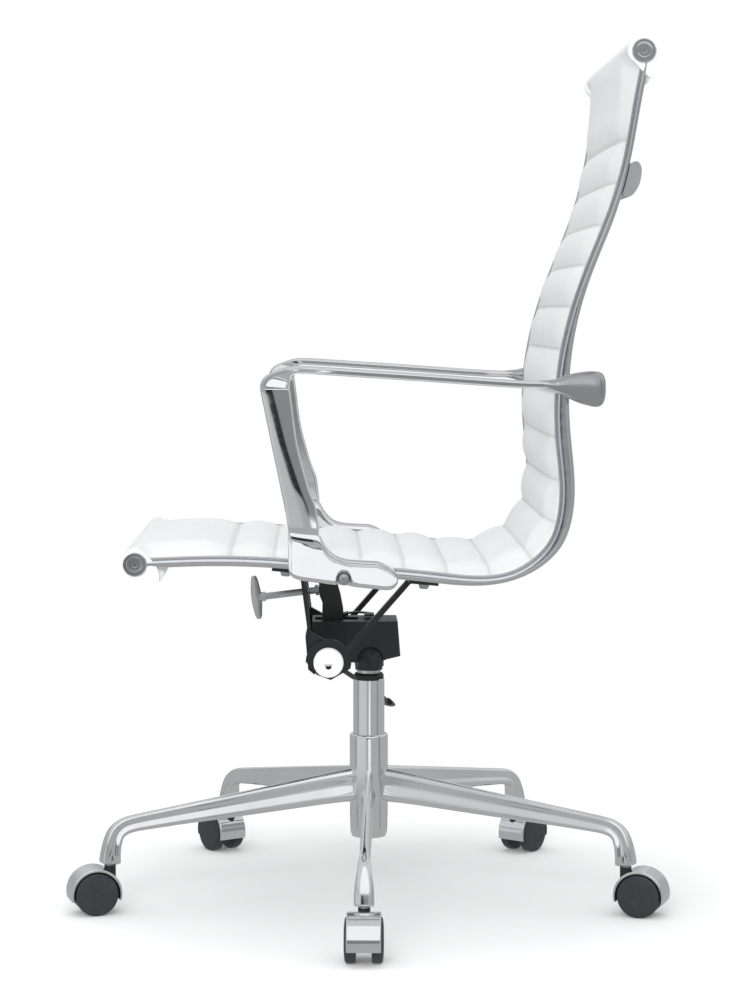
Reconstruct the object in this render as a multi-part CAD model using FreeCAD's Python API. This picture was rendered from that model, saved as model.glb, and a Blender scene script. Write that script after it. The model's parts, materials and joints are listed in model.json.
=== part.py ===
"""Swivel office chair: ribbed high-back sling between two side rails, loop arms,
tilt mechanism, gas lift and a five-leg base on twin-wheel casters.

Millimetres. +Z is up, the floor is Z = 0 and the column axis is X = Y = 0.
The chair faces -Y, so +X is the sitter's left-hand side.
"""
import FreeCAD, Part
import math
import os

V = FreeCAD.Vector

# ---------------------------------------------------------------- driving sizes
LEG_COUNT = 5
BASE_TURN = -2.0            # direction of the first leg, degrees from +X
LEG_END_RADIUS = 314.5      # column axis to caster stem axis
POST_BOTTOM = 56.0          # height of the lower end of a leg

HUB_RADIUS = 22.75
HUB_BOTTOM = 72.0
HUB_TOP = 195.5
TUBE_RADIUS = 18.6          # polished outer tube of the column
TUBE_BORE = 16.0
TUBE_BOTTOM = 78.0
TUBE_TOP = 261.4
BUSH_TOP = 268.2
LIFT_RADIUS = 14.0          # gas cylinder
LIFT_BOTTOM = 93.0
LIFT_TAPER_START = 285.0
LIFT_TOP = 326.0
LIFT_TOP_RADIUS = 13.2
ROD_RADIUS = 5.0
RUNNING = 0.05              # radial clearance of a running fit
SNUG = 0.02                 # radial clearance of parts that don't turn
GAP = 0.4                   # clearance between parts that move past each other

WHEEL_RADIUS = 25.0
WHEEL_WIDTH = 13.0
WHEEL_GAP = 17.2            # between the two wheels of a caster
CASTER_TRAIL = 18.8
AXLE_RADIUS = 4.0
STEM_RADIUS = 5.5
STEM_TOP = 86.0
NECK_RADIUS = 6.7
HOOD_RADIUS = 29.7
HOOD_HALF_WIDTH = 18.75
HOOD_INNER = HOOD_RADIUS - 2.2
HOOD_DROP = 0.8             # inner arch sits lower, so that the hood thins to its tips
HOOD_FOOT = 17.5            # height of the hood's lower edges
YOKE_FOOT = 17.0

PIVOT_Y, PIVOT_Z = -48.5, 298.5   # tilt axis, along X
TILT_TUBE_RADIUS = 12.0
TILT_TUBE_HALF = 138.0
CAP_RADIUS = 17.0
HOUSING_HALF = 34.0
HOUSING_WALL = 3.5
HOUSING_TOP = 333.0
LEVER_PIVOT = (-38.5, 333.2)   # (x, z) of the lever's pin, which lies along Y
LEVER_ROD = 3.0
LEVER_PATH = [
    (-38.5, -30.0, 333.2), (-52.0, -30.0, 322.0), (-66.0, -30.0, 262.0),
    (-150.0, 18.0, 219.0), (-172.0, 26.0, 208.0),
]

ROD_START = V(0, -127.5, 358.9)   # front end of the tension screw
ROD_RISE = 6.9              # its slope, degrees, upwards to the rear
ROD_THREAD = 4.0
ROD_LENGTH = 84.0
NUT_RADIUS = 6.5
NUT_PLACE = 76.0            # distance of the nut from the front end of the screw
HORN_HALF = 10.0            # half width of the torsion arm's horn
HANDLE_HALF = 26.2

CARRIER_INNER, CARRIER_OUTER = 98.0, 136.8
CARRIER_SLEEVE = 17.2
FRONT_STRAP_THICK = 4.0
REAR_STRAP_THICK = 6.0
REAR_STRAP_WIDTH = 14.0
FRONT_STRAP = [(-80.6, 410.6), (-70.6, 335.0), (-72.8, 326.0), (-69.8, 290.0), (-63.4, 284.6)]
REAR_STRAP = [(52.0, 396.0), (44.0, 391.4), (-26.0, 311.5)]
PLATE_THICK = 3.4
PLATE_HALF = 224.0
BOLT_HOLE = 3.5
FRONT_BOLT_X, FRONT_BOLT_Y = 206.0, -96.0
REAR_BOLT_X, REAR_BOLT_Y = 206.0, 57.5

RAIL_OUTER_X = 236.0        # outer face of a side rail
RAIL_WIDTH = 11.0
SLING_HALF = RAIL_OUTER_X - RAIL_WIDTH - 0.4
ROLL_RADIUS = 13.25         # end disc of the front and top tubes
WRAP_RADIUS = 17.0          # leather wrapped round a tube
FRONT_TUBE = (-261.0, 420.0)
TOP_TUBE = (294.0, 979.0)
TUBE_CORE = 9.5             # radius of the steel cross tubes

# Side outline of rail and cushion, front to top, as (y, z) of the rail's outer
# edge, the depth of the rail there and the height of the cushion above that edge.
SIDE_PROFILE = [
    (-244.0, 415.5, 9.4, 19.0),
    (-168.0, 417.4, 9.6, 21.5),
    (-115.0, 415.6, 9.6, 21.0),
    (-20.0, 407.2, 9.8, 21.5),
    (63.0, 399.0, 10.4, 22.0),
    (113.0, 395.2, 9.4, 21.5),
    (148.5, 399.4, 8.6, 23.5),
    (183.5, 414.8, 10.8, 27.0),
    (209.0, 440.6, 13.4, 29.5),
    (220.0, 473.7, 14.6, 29.0),
    (222.0, 495.0, 14.8, 27.5),
    (217.8, 556.0, 15.4, 24.5),
    (215.2, 605.0, 13.8, 21.0),
    (221.2, 671.0, 10.2, 17.5),
    (239.0, 736.0, 7.8, 16.5),
    (264.5, 801.0, 7.6, 15.8),
    (282.0, 866.0, 6.4, 16.2),
    (293.6, 931.0, 6.8, 16.0),
    (300.5, 966.0, 7.0, 15.0),
]
SLING_UNDERSIDE = 2.2       # sling's lower face above the rail's outer edge

ARM_X = 264.0               # centre plane of an armrest
ARM_WIDTH = 32.0
FOOT_BOLT = (-32.3, 406.9)  # (y, z) of the bolt through an arm's foot
SEAT_TILT_DEG = -5.1        # slope of the under-seat plates, front to back


# ---------------------------------------------------------------- helpers
def cylinder(radius, low, high, x=0.0, y=0.0):
    """Upright cylinder between two heights."""
    return Part.makeCylinder(radius, high - low, V(x, y, low), V(0, 0, 1))


def cylinder_x(radius, x0, x1, y, z):
    """Cylinder along X."""
    return Part.makeCylinder(radius, x1 - x0, V(x0, y, z), V(1, 0, 0))


def block(x0, x1, y0, y1, z0, z1):
    return Part.makeBox(x1 - x0, y1 - y0, z1 - z0, V(x0, y0, z0))


def mirrored(shape):
    """The same shape on the other side of the X = 0 plane."""
    return shape.mirror(V(0, 0, 0), V(1, 0, 0))


def spline(points):
    curve = Part.BSplineCurve()
    curve.interpolate([V(*p) for p in points])
    return curve


def closed_spline(points):
    curve = Part.BSplineCurve()
    curve.interpolate([V(*p) for p in points], PeriodicFlag=True)
    return Part.Wire([curve.toShape()])


def slab_x(outline, x0, x1):
    """Solid between x0 and x1 with a straight-sided (y, z) outline."""
    corners = [V(x0, y, z) for y, z in outline]
    face = Part.Face(Part.makePolygon(corners + corners[:1]))
    return face.extrude(V(x1 - x0, 0, 0))


def strap(path, thick, x0, x1):
    """Bent flat bar: a (y, z) path with a thickness, between x0 and x1."""
    left, right = [], []
    for i, (y, z) in enumerate(path):
        normals = []
        if i > 0:
            normals.append(unit_normal(path[i - 1], path[i]))
        if i < len(path) - 1:
            normals.append(unit_normal(path[i], path[i + 1]))
        ny = sum(n[0] for n in normals)
        nz = sum(n[1] for n in normals)
        size = math.hypot(ny, nz)
        ny, nz = ny / size, nz / size
        reach = thick / 2 / (ny * normals[0][0] + nz * normals[0][1])
        left.append((y + ny * reach, z + nz * reach))
        right.append((y - ny * reach, z - nz * reach))
    return slab_x(left + right[::-1], x0, x1)


def unit_normal(a, b):
    dy, dz = b[0] - a[0], b[1] - a[1]
    size = math.hypot(dy, dz)
    return -dz / size, dy / size


def turned(profile, centre=V(0, 0, 0), axis=V(0, 0, 1)):
    """Solid of revolution about Z from (radius, height) corners, then aimed along axis."""
    corners = [V(r, 0, h) for r, h in profile]
    face = Part.Face(Part.makePolygon(corners + corners[:1]))
    solid = face.revolve(V(0, 0, 0), V(0, 0, 1), 360)
    solid.Placement = FreeCAD.Placement(centre, FreeCAD.Rotation(V(0, 0, 1), axis))
    return solid


def softened(shape, radius, wanted):
    """Round the edges for which wanted(edge) holds."""
    return shape.makeFillet(radius, [edge for edge in shape.Edges if wanted(edge)])


def evenly_spaced(rows, count):
    """Resample rows of numbers at even steps along the path in their first two columns.

    Each column follows a smooth curve through the given rows.
    """
    stations = [0.0]
    for a, b in zip(rows, rows[1:]):
        stations.append(stations[-1] + math.hypot(b[0] - a[0], b[1] - a[1]))
    last = len(rows) - 1
    slopes = []
    for i in range(len(rows)):
        low, high = max(i - 1, 0), min(i + 1, last)
        span = stations[high] - stations[low]
        slopes.append([(q - p) / span for p, q in zip(rows[low], rows[high])])
    result = []
    for step in range(count):
        place = stations[-1] * step / (count - 1)
        i = max(k for k in range(last) if stations[k] <= place + 1e-9)
        span = stations[i + 1] - stations[i]
        t = (place - stations[i]) / span
        weights = (2 * t**3 - 3 * t**2 + 1, t**3 - 2 * t**2 + t, 3 * t**2 - 2 * t**3, t**3 - t**2)
        columns = zip(rows[i], slopes[i], rows[i + 1], slopes[i + 1])
        result.append([weights[0] * a + weights[1] * m * span + weights[2] * b
                       + weights[3] * n * span for a, m, b, n in columns])
    return result


def fused(first, *others):
    return first.fuse(list(others)).removeSplitter()


def leg_angle(index):
    return BASE_TURN + index * 360.0 / LEG_COUNT


def placed_at_leg(shape, index):
    """Move a shape built on the +X leg to another leg."""
    copy = shape.copy()
    copy.rotate(V(0, 0, 0), V(0, 0, 1), leg_angle(index))
    return copy


# ---------------------------------------------------------------- base
# Leg sections: (radius, height) of the middle, heading in degrees below the horizontal,
# half height, half width of the upper lobe, of the waist and of the lower lobe.
LEG_SECTIONS = [
    (12.0, 135.0, 7.0, 20.0, 5.6, 5.6, 8.8),
    (60.0, 130.0, 7.0, 18.0, 4.6, 4.8, 7.6),
    (134.0, 121.2, 7.0, 15.5, 4.2, 4.2, 6.8),
    (231.0, 109.8, 7.5, 11.8, 4.6, 3.8, 6.3),
    (281.0, 103.6, 9.0, 10.2, 5.2, 4.2, 6.2),
    (298.5, 99.8, 28.0, 10.2, 6.2, 5.0, 6.8),
    (307.3, 92.6, 55.0, 10.3, 8.2, 7.2, 8.2),
    (311.6, 81.0, 79.0, 10.6, 10.2, 9.6, 10.2),
    (314.0, 66.0, 84.0, 12.0, 11.2, 11.6, 11.2),
    (314.8, POST_BOTTOM, 86.0, 12.9, 11.2, 12.9, 11.2),
]


def leg_section(radius, height, heading, half_height, upper, waist, lower):
    """Closed outline across a leg, in the plane square to its path."""
    shape = [
        (1.0, 0.0), (0.9, 0.72 * upper), (0.62, upper), (0.12, waist),
        (-0.4, 0.93 * lower), (-0.7, 0.93 * lower), (-0.93, 0.55 * lower), (-1.0, 0.0),
    ]
    sides = shape + [(a, -b) for a, b in shape[-2:0:-1]]
    slope = math.radians(heading)
    points = []
    for a, b in sides:
        points.append((radius + a * half_height * math.sin(slope), b,
                       height + a * half_height * math.cos(slope)))
    return closed_spline(points)


def make_leg():
    sections = [leg_section(*values) for values in evenly_spaced(LEG_SECTIONS, 24)]
    leg = Part.makeLoft(sections, True, False)
    below = block(250, 360, -40, 40, 20, POST_BOTTOM)
    socket = cylinder(STEM_RADIUS + SNUG, POST_BOTTOM - 1, STEM_TOP + 0.5, LEG_END_RADIUS)
    return leg.cut(below).cut(socket)


def make_star_base():
    leg = make_leg()
    hub = turned([
        (0, HUB_BOTTOM), (HUB_RADIUS - 2.5, HUB_BOTTOM), (HUB_RADIUS - 2.5, HUB_BOTTOM + 2),
        (HUB_RADIUS - 1, HUB_BOTTOM + 3.5), (HUB_RADIUS, HUB_BOTTOM + 30),
        (HUB_RADIUS, HUB_TOP - 2), (HUB_RADIUS - 1.5, HUB_TOP), (0, HUB_TOP),
    ])
    base = hub.fuse([placed_at_leg(leg, i) for i in range(LEG_COUNT)])
    bore = cylinder(TUBE_RADIUS + SNUG, TUBE_BOTTOM - SNUG, HUB_TOP + 5)
    base = base.cut(bore).cut(cylinder(TUBE_RADIUS - 2, HUB_BOTTOM - 5, TUBE_BOTTOM))
    return base.removeSplitter()


def make_caster_stems():
    """Five pins, pressed into the leg ends, on which the casters swivel."""
    pin = turned([
        (0, 34), (STEM_RADIUS, 34), (STEM_RADIUS, STEM_TOP - 2), (STEM_RADIUS - 1.5, STEM_TOP),
        (0, STEM_TOP),
    ], V(LEG_END_RADIUS, 0, 0))
    return Part.makeCompound([placed_at_leg(pin, i) for i in range(LEG_COUNT)])


# ---------------------------------------------------------------- casters
def caster_wheel(side):
    """One wheel, with a closed, slightly domed outer face; side is +1 or -1 along Y."""
    inner = WHEEL_GAP / 2
    outer = inner + WHEEL_WIDTH
    bore = AXLE_RADIUS + RUNNING
    wheel = turned([
        (bore, inner), (WHEEL_RADIUS - 1.2, inner), (WHEEL_RADIUS, inner + 1.5),
        (WHEEL_RADIUS, outer - 4), (WHEEL_RADIUS - 0.7, outer - 2.2),
        (WHEEL_RADIUS - 2.6, outer - 1.0), (WHEEL_RADIUS - 9, outer - 0.2), (0, outer),
        (0, outer - 3), (bore, outer - 3),
    ], V(LEG_END_RADIUS + CASTER_TRAIL, 0, WHEEL_RADIUS), V(0, side, 0))
    return wheel


def caster_axle():
    half = WHEEL_GAP / 2 + WHEEL_WIDTH - 3.4
    centre = V(LEG_END_RADIUS + CASTER_TRAIL, -half, WHEEL_RADIUS)
    return Part.makeCylinder(AXLE_RADIUS, 2 * half, centre, V(0, 1, 0))


def wheel_disc(radius, half_width, rise=0.0):
    """Cylinder about a caster's wheel axis."""
    centre = V(LEG_END_RADIUS + CASTER_TRAIL, -half_width, WHEEL_RADIUS + rise)
    return Part.makeCylinder(radius, 2 * half_width, centre, V(0, 1, 0))


def caster_yoke():
    """Black body between the wheels, with the neck that turns on the stem."""
    half = WHEEL_GAP / 2 - 0.6
    centre_x = LEG_END_RADIUS + CASTER_TRAIL
    web = wheel_disc(HOOD_INNER - 0.1, half, -HOOD_DROP)
    web = web.cut(block(centre_x - 40, centre_x + 40, -20, 20, -10, YOKE_FOOT))
    neck = cylinder(NECK_RADIUS, 30, POST_BOTTOM - GAP, LEG_END_RADIUS)
    yoke = fused(web, neck)
    yoke = yoke.cut(cylinder(STEM_RADIUS + RUNNING, 33.6, POST_BOTTOM + 5, LEG_END_RADIUS))
    return yoke.cut(wheel_disc(AXLE_RADIUS + SNUG, 20))


def caster_hood():
    """Chrome arch over both wheels, notched round the neck."""
    centre_x = LEG_END_RADIUS + CASTER_TRAIL
    arch = wheel_disc(HOOD_RADIUS, HOOD_HALF_WIDTH)
    arch = softened(arch, 1.4, lambda edge: True)
    arch = arch.cut(wheel_disc(HOOD_INNER, HOOD_HALF_WIDTH + 1, -HOOD_DROP))
    arch = arch.cut(block(centre_x - 40, centre_x + 40, -25, 25, -10, HOOD_FOOT))
    return arch.cut(cylinder(NECK_RADIUS + 0.3, 20, 70, LEG_END_RADIUS))


# ---------------------------------------------------------------- column
def make_column_tube():
    tube = turned([
        (ROD_RADIUS + 0.5, TUBE_BOTTOM), (TUBE_RADIUS, TUBE_BOTTOM),
        (TUBE_RADIUS, TUBE_TOP - 1), (TUBE_RADIUS - 1, TUBE_TOP), (TUBE_BORE, TUBE_TOP),
        (TUBE_BORE, TUBE_BOTTOM + 4), (ROD_RADIUS + 0.5, TUBE_BOTTOM + 4),
    ])
    return tube


def make_guide_bushing():
    """Plastic sleeve in the tube's mouth, with the collar that shows above it."""
    inner = LIFT_RADIUS + RUNNING
    return turned([
        (inner, 203), (TUBE_BORE - SNUG, 203), (TUBE_BORE - SNUG, TUBE_TOP),
        (TUBE_RADIUS - 0.8, TUBE_TOP), (TUBE_RADIUS - 0.8, BUSH_TOP - 2.5),
        (TUBE_RADIUS - 2.6, BUSH_TOP), (inner, BUSH_TOP),
    ])


def make_thrust_bearing():
    """Two washers and a caged ring of balls under the rod's collar."""
    low = TUBE_BOTTOM + 4
    inner, outer = ROD_RADIUS + 0.6, 13.0
    washers = [
        turned([(inner, z), (outer, z), (outer, z + 1.4), (inner, z + 1.4)])
        for z in (low, low + 5.2)
    ]
    balls = []
    for i in range(10):
        angle = 2 * math.pi * i / 10
        balls.append(Part.makeSphere(1.88, V(9.3 * math.cos(angle), 9.3 * math.sin(angle),
                                             low + 3.3)))
    return Part.makeCompound(washers + balls)


def make_piston_rod():
    """Rod that stands on the thrust bearing, with the piston at its top."""
    collar = TUBE_BOTTOM + 4 + 6.6 + 0.2
    return turned([
        (0, 73.4), (ROD_RADIUS - 1, 73.4), (ROD_RADIUS - 0.2, 74.2), (ROD_RADIUS - 0.2, 75.0),
        (ROD_RADIUS - 1, 75.0), (ROD_RADIUS - 1, 76.6), (ROD_RADIUS, 76.6), (ROD_RADIUS, collar),
        (9.0, collar), (9.0, collar + 2.5), (ROD_RADIUS, collar + 2.5), (ROD_RADIUS, 292),
        (12.0 - RUNNING, 292), (12.0 - RUNNING, 304), (0, 304),
    ])


def make_retaining_clip():
    ring = turned([
        (ROD_RADIUS - 1 + SNUG, 75.1), (9.0, 75.1), (9.0, 76.5), (ROD_RADIUS - 1 + SNUG, 76.5),
    ])
    return ring.cut(block(0, 12, -2.4, 2.4, 70, 80))


def make_gas_cylinder():
    """Pressure cylinder that carries the seat; the rod enters it from below."""
    bore = 12.0
    return turned([
        (ROD_RADIUS + RUNNING, LIFT_BOTTOM), (LIFT_RADIUS - 0.8, LIFT_BOTTOM),
        (LIFT_RADIUS, LIFT_BOTTOM + 0.8), (LIFT_RADIUS, LIFT_TAPER_START),
        (LIFT_TOP_RADIUS, LIFT_TOP), (3.0 + RUNNING, LIFT_TOP), (3.0 + RUNNING, 314),
        (bore, 310), (bore, 101), (ROD_RADIUS + RUNNING, 101),
    ])


def make_release_button():
    return turned([
        (0, 310), (3.0, 310), (3.0, 330.5), (4.2, 331.0), (4.2, 333.4), (3.4, 334.2), (0, 334.2),
    ])


# ---------------------------------------------------------------- mechanism
def make_tilt_housing():
    """Pressed-steel channel, open below, with the socket for the gas cylinder."""
    half, wall, top = HOUSING_HALF, HOUSING_WALL, HOUSING_TOP
    side = [(-67, top), (-67, 291), (-60, 284.5), (12, 284.5), (20, 288), (36.6, 292), (33.4, top)]
    outer = slab_x(side, -half, half)
    cavity = [(-67 + wall, top - wall), (-67 + wall, 270), (33, 270), (30, top - wall)]
    housing = outer.cut(slab_x(cavity, -half + wall, half - wall))
    socket = turned([
        (0, 272), (LIFT_RADIUS + 2.2, 272), (LIFT_RADIUS + 3.4, 284), (LIFT_RADIUS + 3.4, top - 1),
        (0, top - 1),
    ])
    bulges = []
    for x in (-half + 6, half - 6):
        bulge = cylinder(16.0, 280, 288, x, 1.2).fuse(Part.makeSphere(16.0, V(x, 1.2, 288)))
        bulges.append(bulge.common(block(-60, 60, -40, 40, 280, 320)))
    housing = housing.fuse([socket] + bulges)
    inside = slab_x([(-67 + wall, 320), (-67 + wall, 270), (32, 270), (32, 320)],
                    -half + wall, half - wall)
    housing = housing.cut(inside.cut(cylinder(LIFT_RADIUS + 3.4, 260, 340)))
    seat = turned([
        (0, 260), (LIFT_RADIUS + SNUG, 260), (LIFT_RADIUS + SNUG, LIFT_TAPER_START),
        (LIFT_TOP_RADIUS + SNUG, LIFT_TOP + SNUG), (6, LIFT_TOP + SNUG), (6, top + 5), (0, top + 5),
    ])
    housing = housing.cut(seat)
    horn_slot = block(-13.5, 13.5, -64, -13, 300, top + 5)
    housing = housing.cut(horn_slot)
    housing = housing.cut(cylinder_x(TILT_TUBE_RADIUS + SNUG, -60, 60, PIVOT_Y, PIVOT_Z))
    lug = block(-half - 8, -half, -36, -24, 326, top + 4)
    pin_hole = Part.makeCylinder(2.5 + RUNNING, 40, V(LEVER_PIVOT[0], -50, LEVER_PIVOT[1]),
                                 V(0, 1, 0))
    lug = lug.cut(block(-60, 0, -33.2, -26.8, 320, top + 10)).cut(pin_hole)
    return housing.fuse(lug).removeSplitter()


def make_tilt_tube():
    tube = cylinder_x(TILT_TUBE_RADIUS, -TILT_TUBE_HALF, TILT_TUBE_HALF, PIVOT_Y, PIVOT_Z)
    return tube.cut(cylinder_x(9.0, -150, 150, PIVOT_Y, PIVOT_Z))


def make_torsion_bar():
    """Hexagonal spring bar inside the tilt tube."""
    corners = []
    for i in range(6):
        angle = math.radians(60 * i)
        corners.append((PIVOT_Y + 7 * math.cos(angle), PIVOT_Z + 7 * math.sin(angle)))
    return slab_x(corners, -129, 129)


def make_axle_end_caps():
    """White plastic plugs on the two ends of the tilt tube."""
    cap = turned([
        (0, 130), (9.0 - SNUG, 130), (9.0 - SNUG, TILT_TUBE_HALF), (CAP_RADIUS, TILT_TUBE_HALF),
        (CAP_RADIUS, TILT_TUBE_HALF + 4.5), (CAP_RADIUS - 1.5, TILT_TUBE_HALF + 6),
        (0, TILT_TUBE_HALF + 7),
    ], V(0, PIVOT_Y, PIVOT_Z), V(1, 0, 0))
    keyhole = cylinder_x(4.7, 142, 150, PIVOT_Y, PIVOT_Z - 1.4)
    keyhole = keyhole.cut(block(140, 152, -60, -30, PIVOT_Z - 1.4, PIVOT_Z + 10))
    cap = cap.cut(keyhole)
    return Part.makeCompound([cap, mirrored(cap)])


def make_torsion_arm():
    """Curved arm that the tension screw pushes; its ring turns on the tilt tube."""
    blade = slab_x([
        (-59.5, 378.5), (-38.5, 378.5), (-33.6, 362), (-30.4, 345), (-31, 322), (-36, 306),
        (-61, 306), (-58, 322), (-55.4, 338), (-55.2, 353), (-58.6, 361),
    ], -HORN_HALF, HORN_HALF)
    ring = cylinder_x(14.5, -HORN_HALF, HORN_HALF, PIVOT_Y, PIVOT_Z)
    arm = fused(blade, ring)
    arm = arm.cut(cylinder_x(TILT_TUBE_RADIUS + RUNNING, -30, 30, PIVOT_Y, PIVOT_Z))
    arm = arm.cut(tension_axis_cylinder(ROD_THREAD + 2.0, 50, 100))
    return arm.cut(cylinder_x(NUT_RADIUS + SNUG, -30, 30, NUT_CENTRE[0], NUT_CENTRE[1]))


def rod_point(distance):
    slope = math.radians(ROD_RISE)
    return V(0, ROD_START.y + distance * math.cos(slope), ROD_START.z + distance * math.sin(slope))


NUT_CENTRE = (rod_point(NUT_PLACE).y, rod_point(NUT_PLACE).z)


def tension_axis_cylinder(radius, low, high):
    """Cylinder about the tension screw's axis, between distances from its front end."""
    return Part.makeCylinder(radius, high - low, rod_point(low), rod_point(1) - rod_point(0))


def make_tension_rod():
    shaft = tension_axis_cylinder(ROD_THREAD, 0, ROD_LENGTH)
    collar = tension_axis_cylinder(6.2, 64.4, 68.5)
    return fused(shaft, collar)


def make_tension_handle():
    """T-bar, thickest at the middle, across the front end of the screw."""
    half = HANDLE_HALF
    bar = turned([
        (0, -half), (2.6, -half + 0.6), (4.2, -half + 5), (6.0, -8), (6.2, 0), (6.0, 8),
        (4.2, half - 5), (2.6, half - 0.6), (0, half),
    ])
    bar.rotate(V(0, 0, 0), V(1, 0, 0), ROD_RISE)
    bar.translate(rod_point(-6))
    boss = tension_axis_cylinder(5.6, -6, 5)
    handle = fused(bar, boss)
    return handle.cut(tension_axis_cylinder(ROD_THREAD + SNUG, 0, 10))


def make_tension_nut():
    """Cross-pin nut in the torsion arm."""
    nut = cylinder_x(NUT_RADIUS, -HORN_HALF, HORN_HALF, *NUT_CENTRE)
    return nut.cut(tension_axis_cylinder(ROD_THREAD + 0.8, 50, 100))


def make_carrier():
    """Left-hand bracket that turns on the tilt tube and carries the under-seat plates."""
    sleeve = cylinder_x(CARRIER_SLEEVE, CARRIER_INNER, CARRIER_OUTER, PIVOT_Y, PIVOT_Z)
    front = strap(FRONT_STRAP, FRONT_STRAP_THICK, CARRIER_INNER, CARRIER_OUTER - 9)
    rear = strap(REAR_STRAP, REAR_STRAP_THICK, CARRIER_OUTER - REAR_STRAP_WIDTH, CARRIER_OUTER)
    arch = cylinder_x(26.0, CARRIER_OUTER - 6, CARRIER_OUTER, PIVOT_Y, PIVOT_Z)
    lower = slab_x([(-80, PIVOT_Z), (-74, PIVOT_Z), (-62, 284), (-46, 278), (0, PIVOT_Z + 6),
                    (0, 260), (-80, 260)], 100, 145)
    arch = arch.cut(lower)
    web = slab_x([(-71.5, 334), (-71.5, 292), (-62, 286), (-55, 300), (-50, 322)],
                 CARRIER_OUTER - 14, CARRIER_OUTER - 4)
    carrier = fused(sleeve, front, rear, arch, web)
    return carrier.cut(cylinder_x(TILT_TUBE_RADIUS + RUNNING, 80, 150, PIVOT_Y, PIVOT_Z))


def under_seat_plate(y0, y1, z_front, thick, half):
    """Flat steel plate across the chair, sloped with the rails."""
    plate = block(-half, half, 0, y1 - y0, -thick, 0)
    plate.rotate(V(0, 0, 0), V(1, 0, 0), SEAT_TILT_DEG)
    plate.translate(V(0, y0, z_front))
    return plate


def make_front_cross_plate():
    """Plate under the front of the seat, with a tongue that holds the tension screw."""
    plate = under_seat_plate(-111.0, -78.0, 414.7, PLATE_THICK, PLATE_HALF)
    tongue = strap([(-80.6, 411.0), (-72.0, 346.0)], 4.0, -20, 20)
    plate = fused(plate, tongue)
    hole = tension_axis_cylinder(ROD_THREAD + RUNNING, 40, 75)
    plate = plate.cut(hole)
    return plate.cut(front_straps_space())


def front_straps_space():
    """Room for the upper ends of the two front straps."""
    spaces = []
    for x0, x1 in ((CARRIER_INNER, CARRIER_OUTER - 9), (9 - CARRIER_OUTER, -CARRIER_INNER)):
        spaces.append(strap([(-82.0, 421.1)] + FRONT_STRAP[:2], FRONT_STRAP_THICK + 2 * SNUG, x0, x1))
    return spaces[0].fuse(spaces[1])


def make_rear_cross_plate():
    plate = under_seat_plate(40.0, 73.0, 400.6, PLATE_THICK, PLATE_HALF)
    near = CARRIER_OUTER - REAR_STRAP_WIDTH
    space = strap(REAR_STRAP, REAR_STRAP_THICK + 2 * SNUG, near, CARRIER_OUTER)
    return plate.cut(space.fuse(mirrored(space)))


# ---------------------------------------------------------------- height lever
def rod_along(points, radius):
    """Round bar along straight runs with ball corners."""
    solid = Part.makeSphere(radius, V(*points[0]))
    for a, b in zip(points, points[1:]):
        start, end = V(*a), V(*b)
        run = Part.makeCylinder(radius, (end - start).Length, start, end - start)
        solid = solid.fuse([run, Part.makeSphere(radius, end)])
    return solid


def make_height_lever():
    lever = rod_along(LEVER_PATH, LEVER_ROD)
    pin = Part.makeCylinder(2.5, 12.0, V(LEVER_PIVOT[0], -36.0, LEVER_PIVOT[1]), V(0, 1, 0))
    return fused(lever, pin)


def make_lever_paddle():
    """Flat grip at the outer end of the lever."""
    bar_end = V(*LEVER_PATH[-1])
    sections = []
    for x, half_y, half_z, drop in ((0, 5.0, 4.4, 0), (-14, 7.5, 4.2, -3), (-44, 9.0, 3.4, -9),
                                    (-56, 5.0, 2.2, -12)):
        outline = []
        for i in range(10):
            angle = 2 * math.pi * i / 10
            outline.append((bar_end.x + x, bar_end.y + 2 + half_y * math.cos(angle),
                            bar_end.z + drop - 0.25 * half_y * math.cos(angle)
                            + half_z * math.sin(angle)))
        sections.append(closed_spline(outline))
    paddle = Part.makeLoft(sections, True, False)
    return paddle.cut(make_height_lever())


def make_release_rocker():
    """Arched strip from the lever's pin to a finger above the release button."""
    arch = strap([(-31.5, 335.6), (-22, 337.6), (-12, 338.2), (-2, 337.4), (6.5, 336.2)], 2.0,
                 -23, -15)
    finger = block(-16, 5, -5.5, 5.5, 336.2, 338.2)
    root = block(-35.4, -14.8, -33.0, -27.0, 334.7, 337.0)
    rocker = fused(arch, finger, root)
    return rocker.cut(make_height_lever())


# ---------------------------------------------------------------- seat frame
def offset_profile(distances):
    """The side profile moved inwards by a distance at each of its points."""
    edge = spline([(0, y, z) for y, z, _, _ in SIDE_PROFILE])
    moved = []
    for (y, z, _, _), distance in zip(SIDE_PROFILE, distances):
        tangent = edge.tangent(edge.parameter(V(0, y, z)))[0]
        moved.append((0, y - tangent.z * distance, z + tangent.y * distance))
    return moved


def profile_solid(low, high, x0, x1):
    """Solid between two offsets of the side profile."""
    outer = offset_profile(low)
    inner = offset_profile(high)
    wire = Part.Wire([
        spline(outer).toShape(), Part.makeLine(V(*outer[-1]), V(*inner[-1])),
        spline(inner[::-1]).toShape(), Part.makeLine(V(*inner[0]), V(*outer[0])),
    ])
    solid = Part.Face(wire).extrude(V(x1 - x0, 0, 0))
    solid.translate(V(x0, 0, 0))
    return solid


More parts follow.
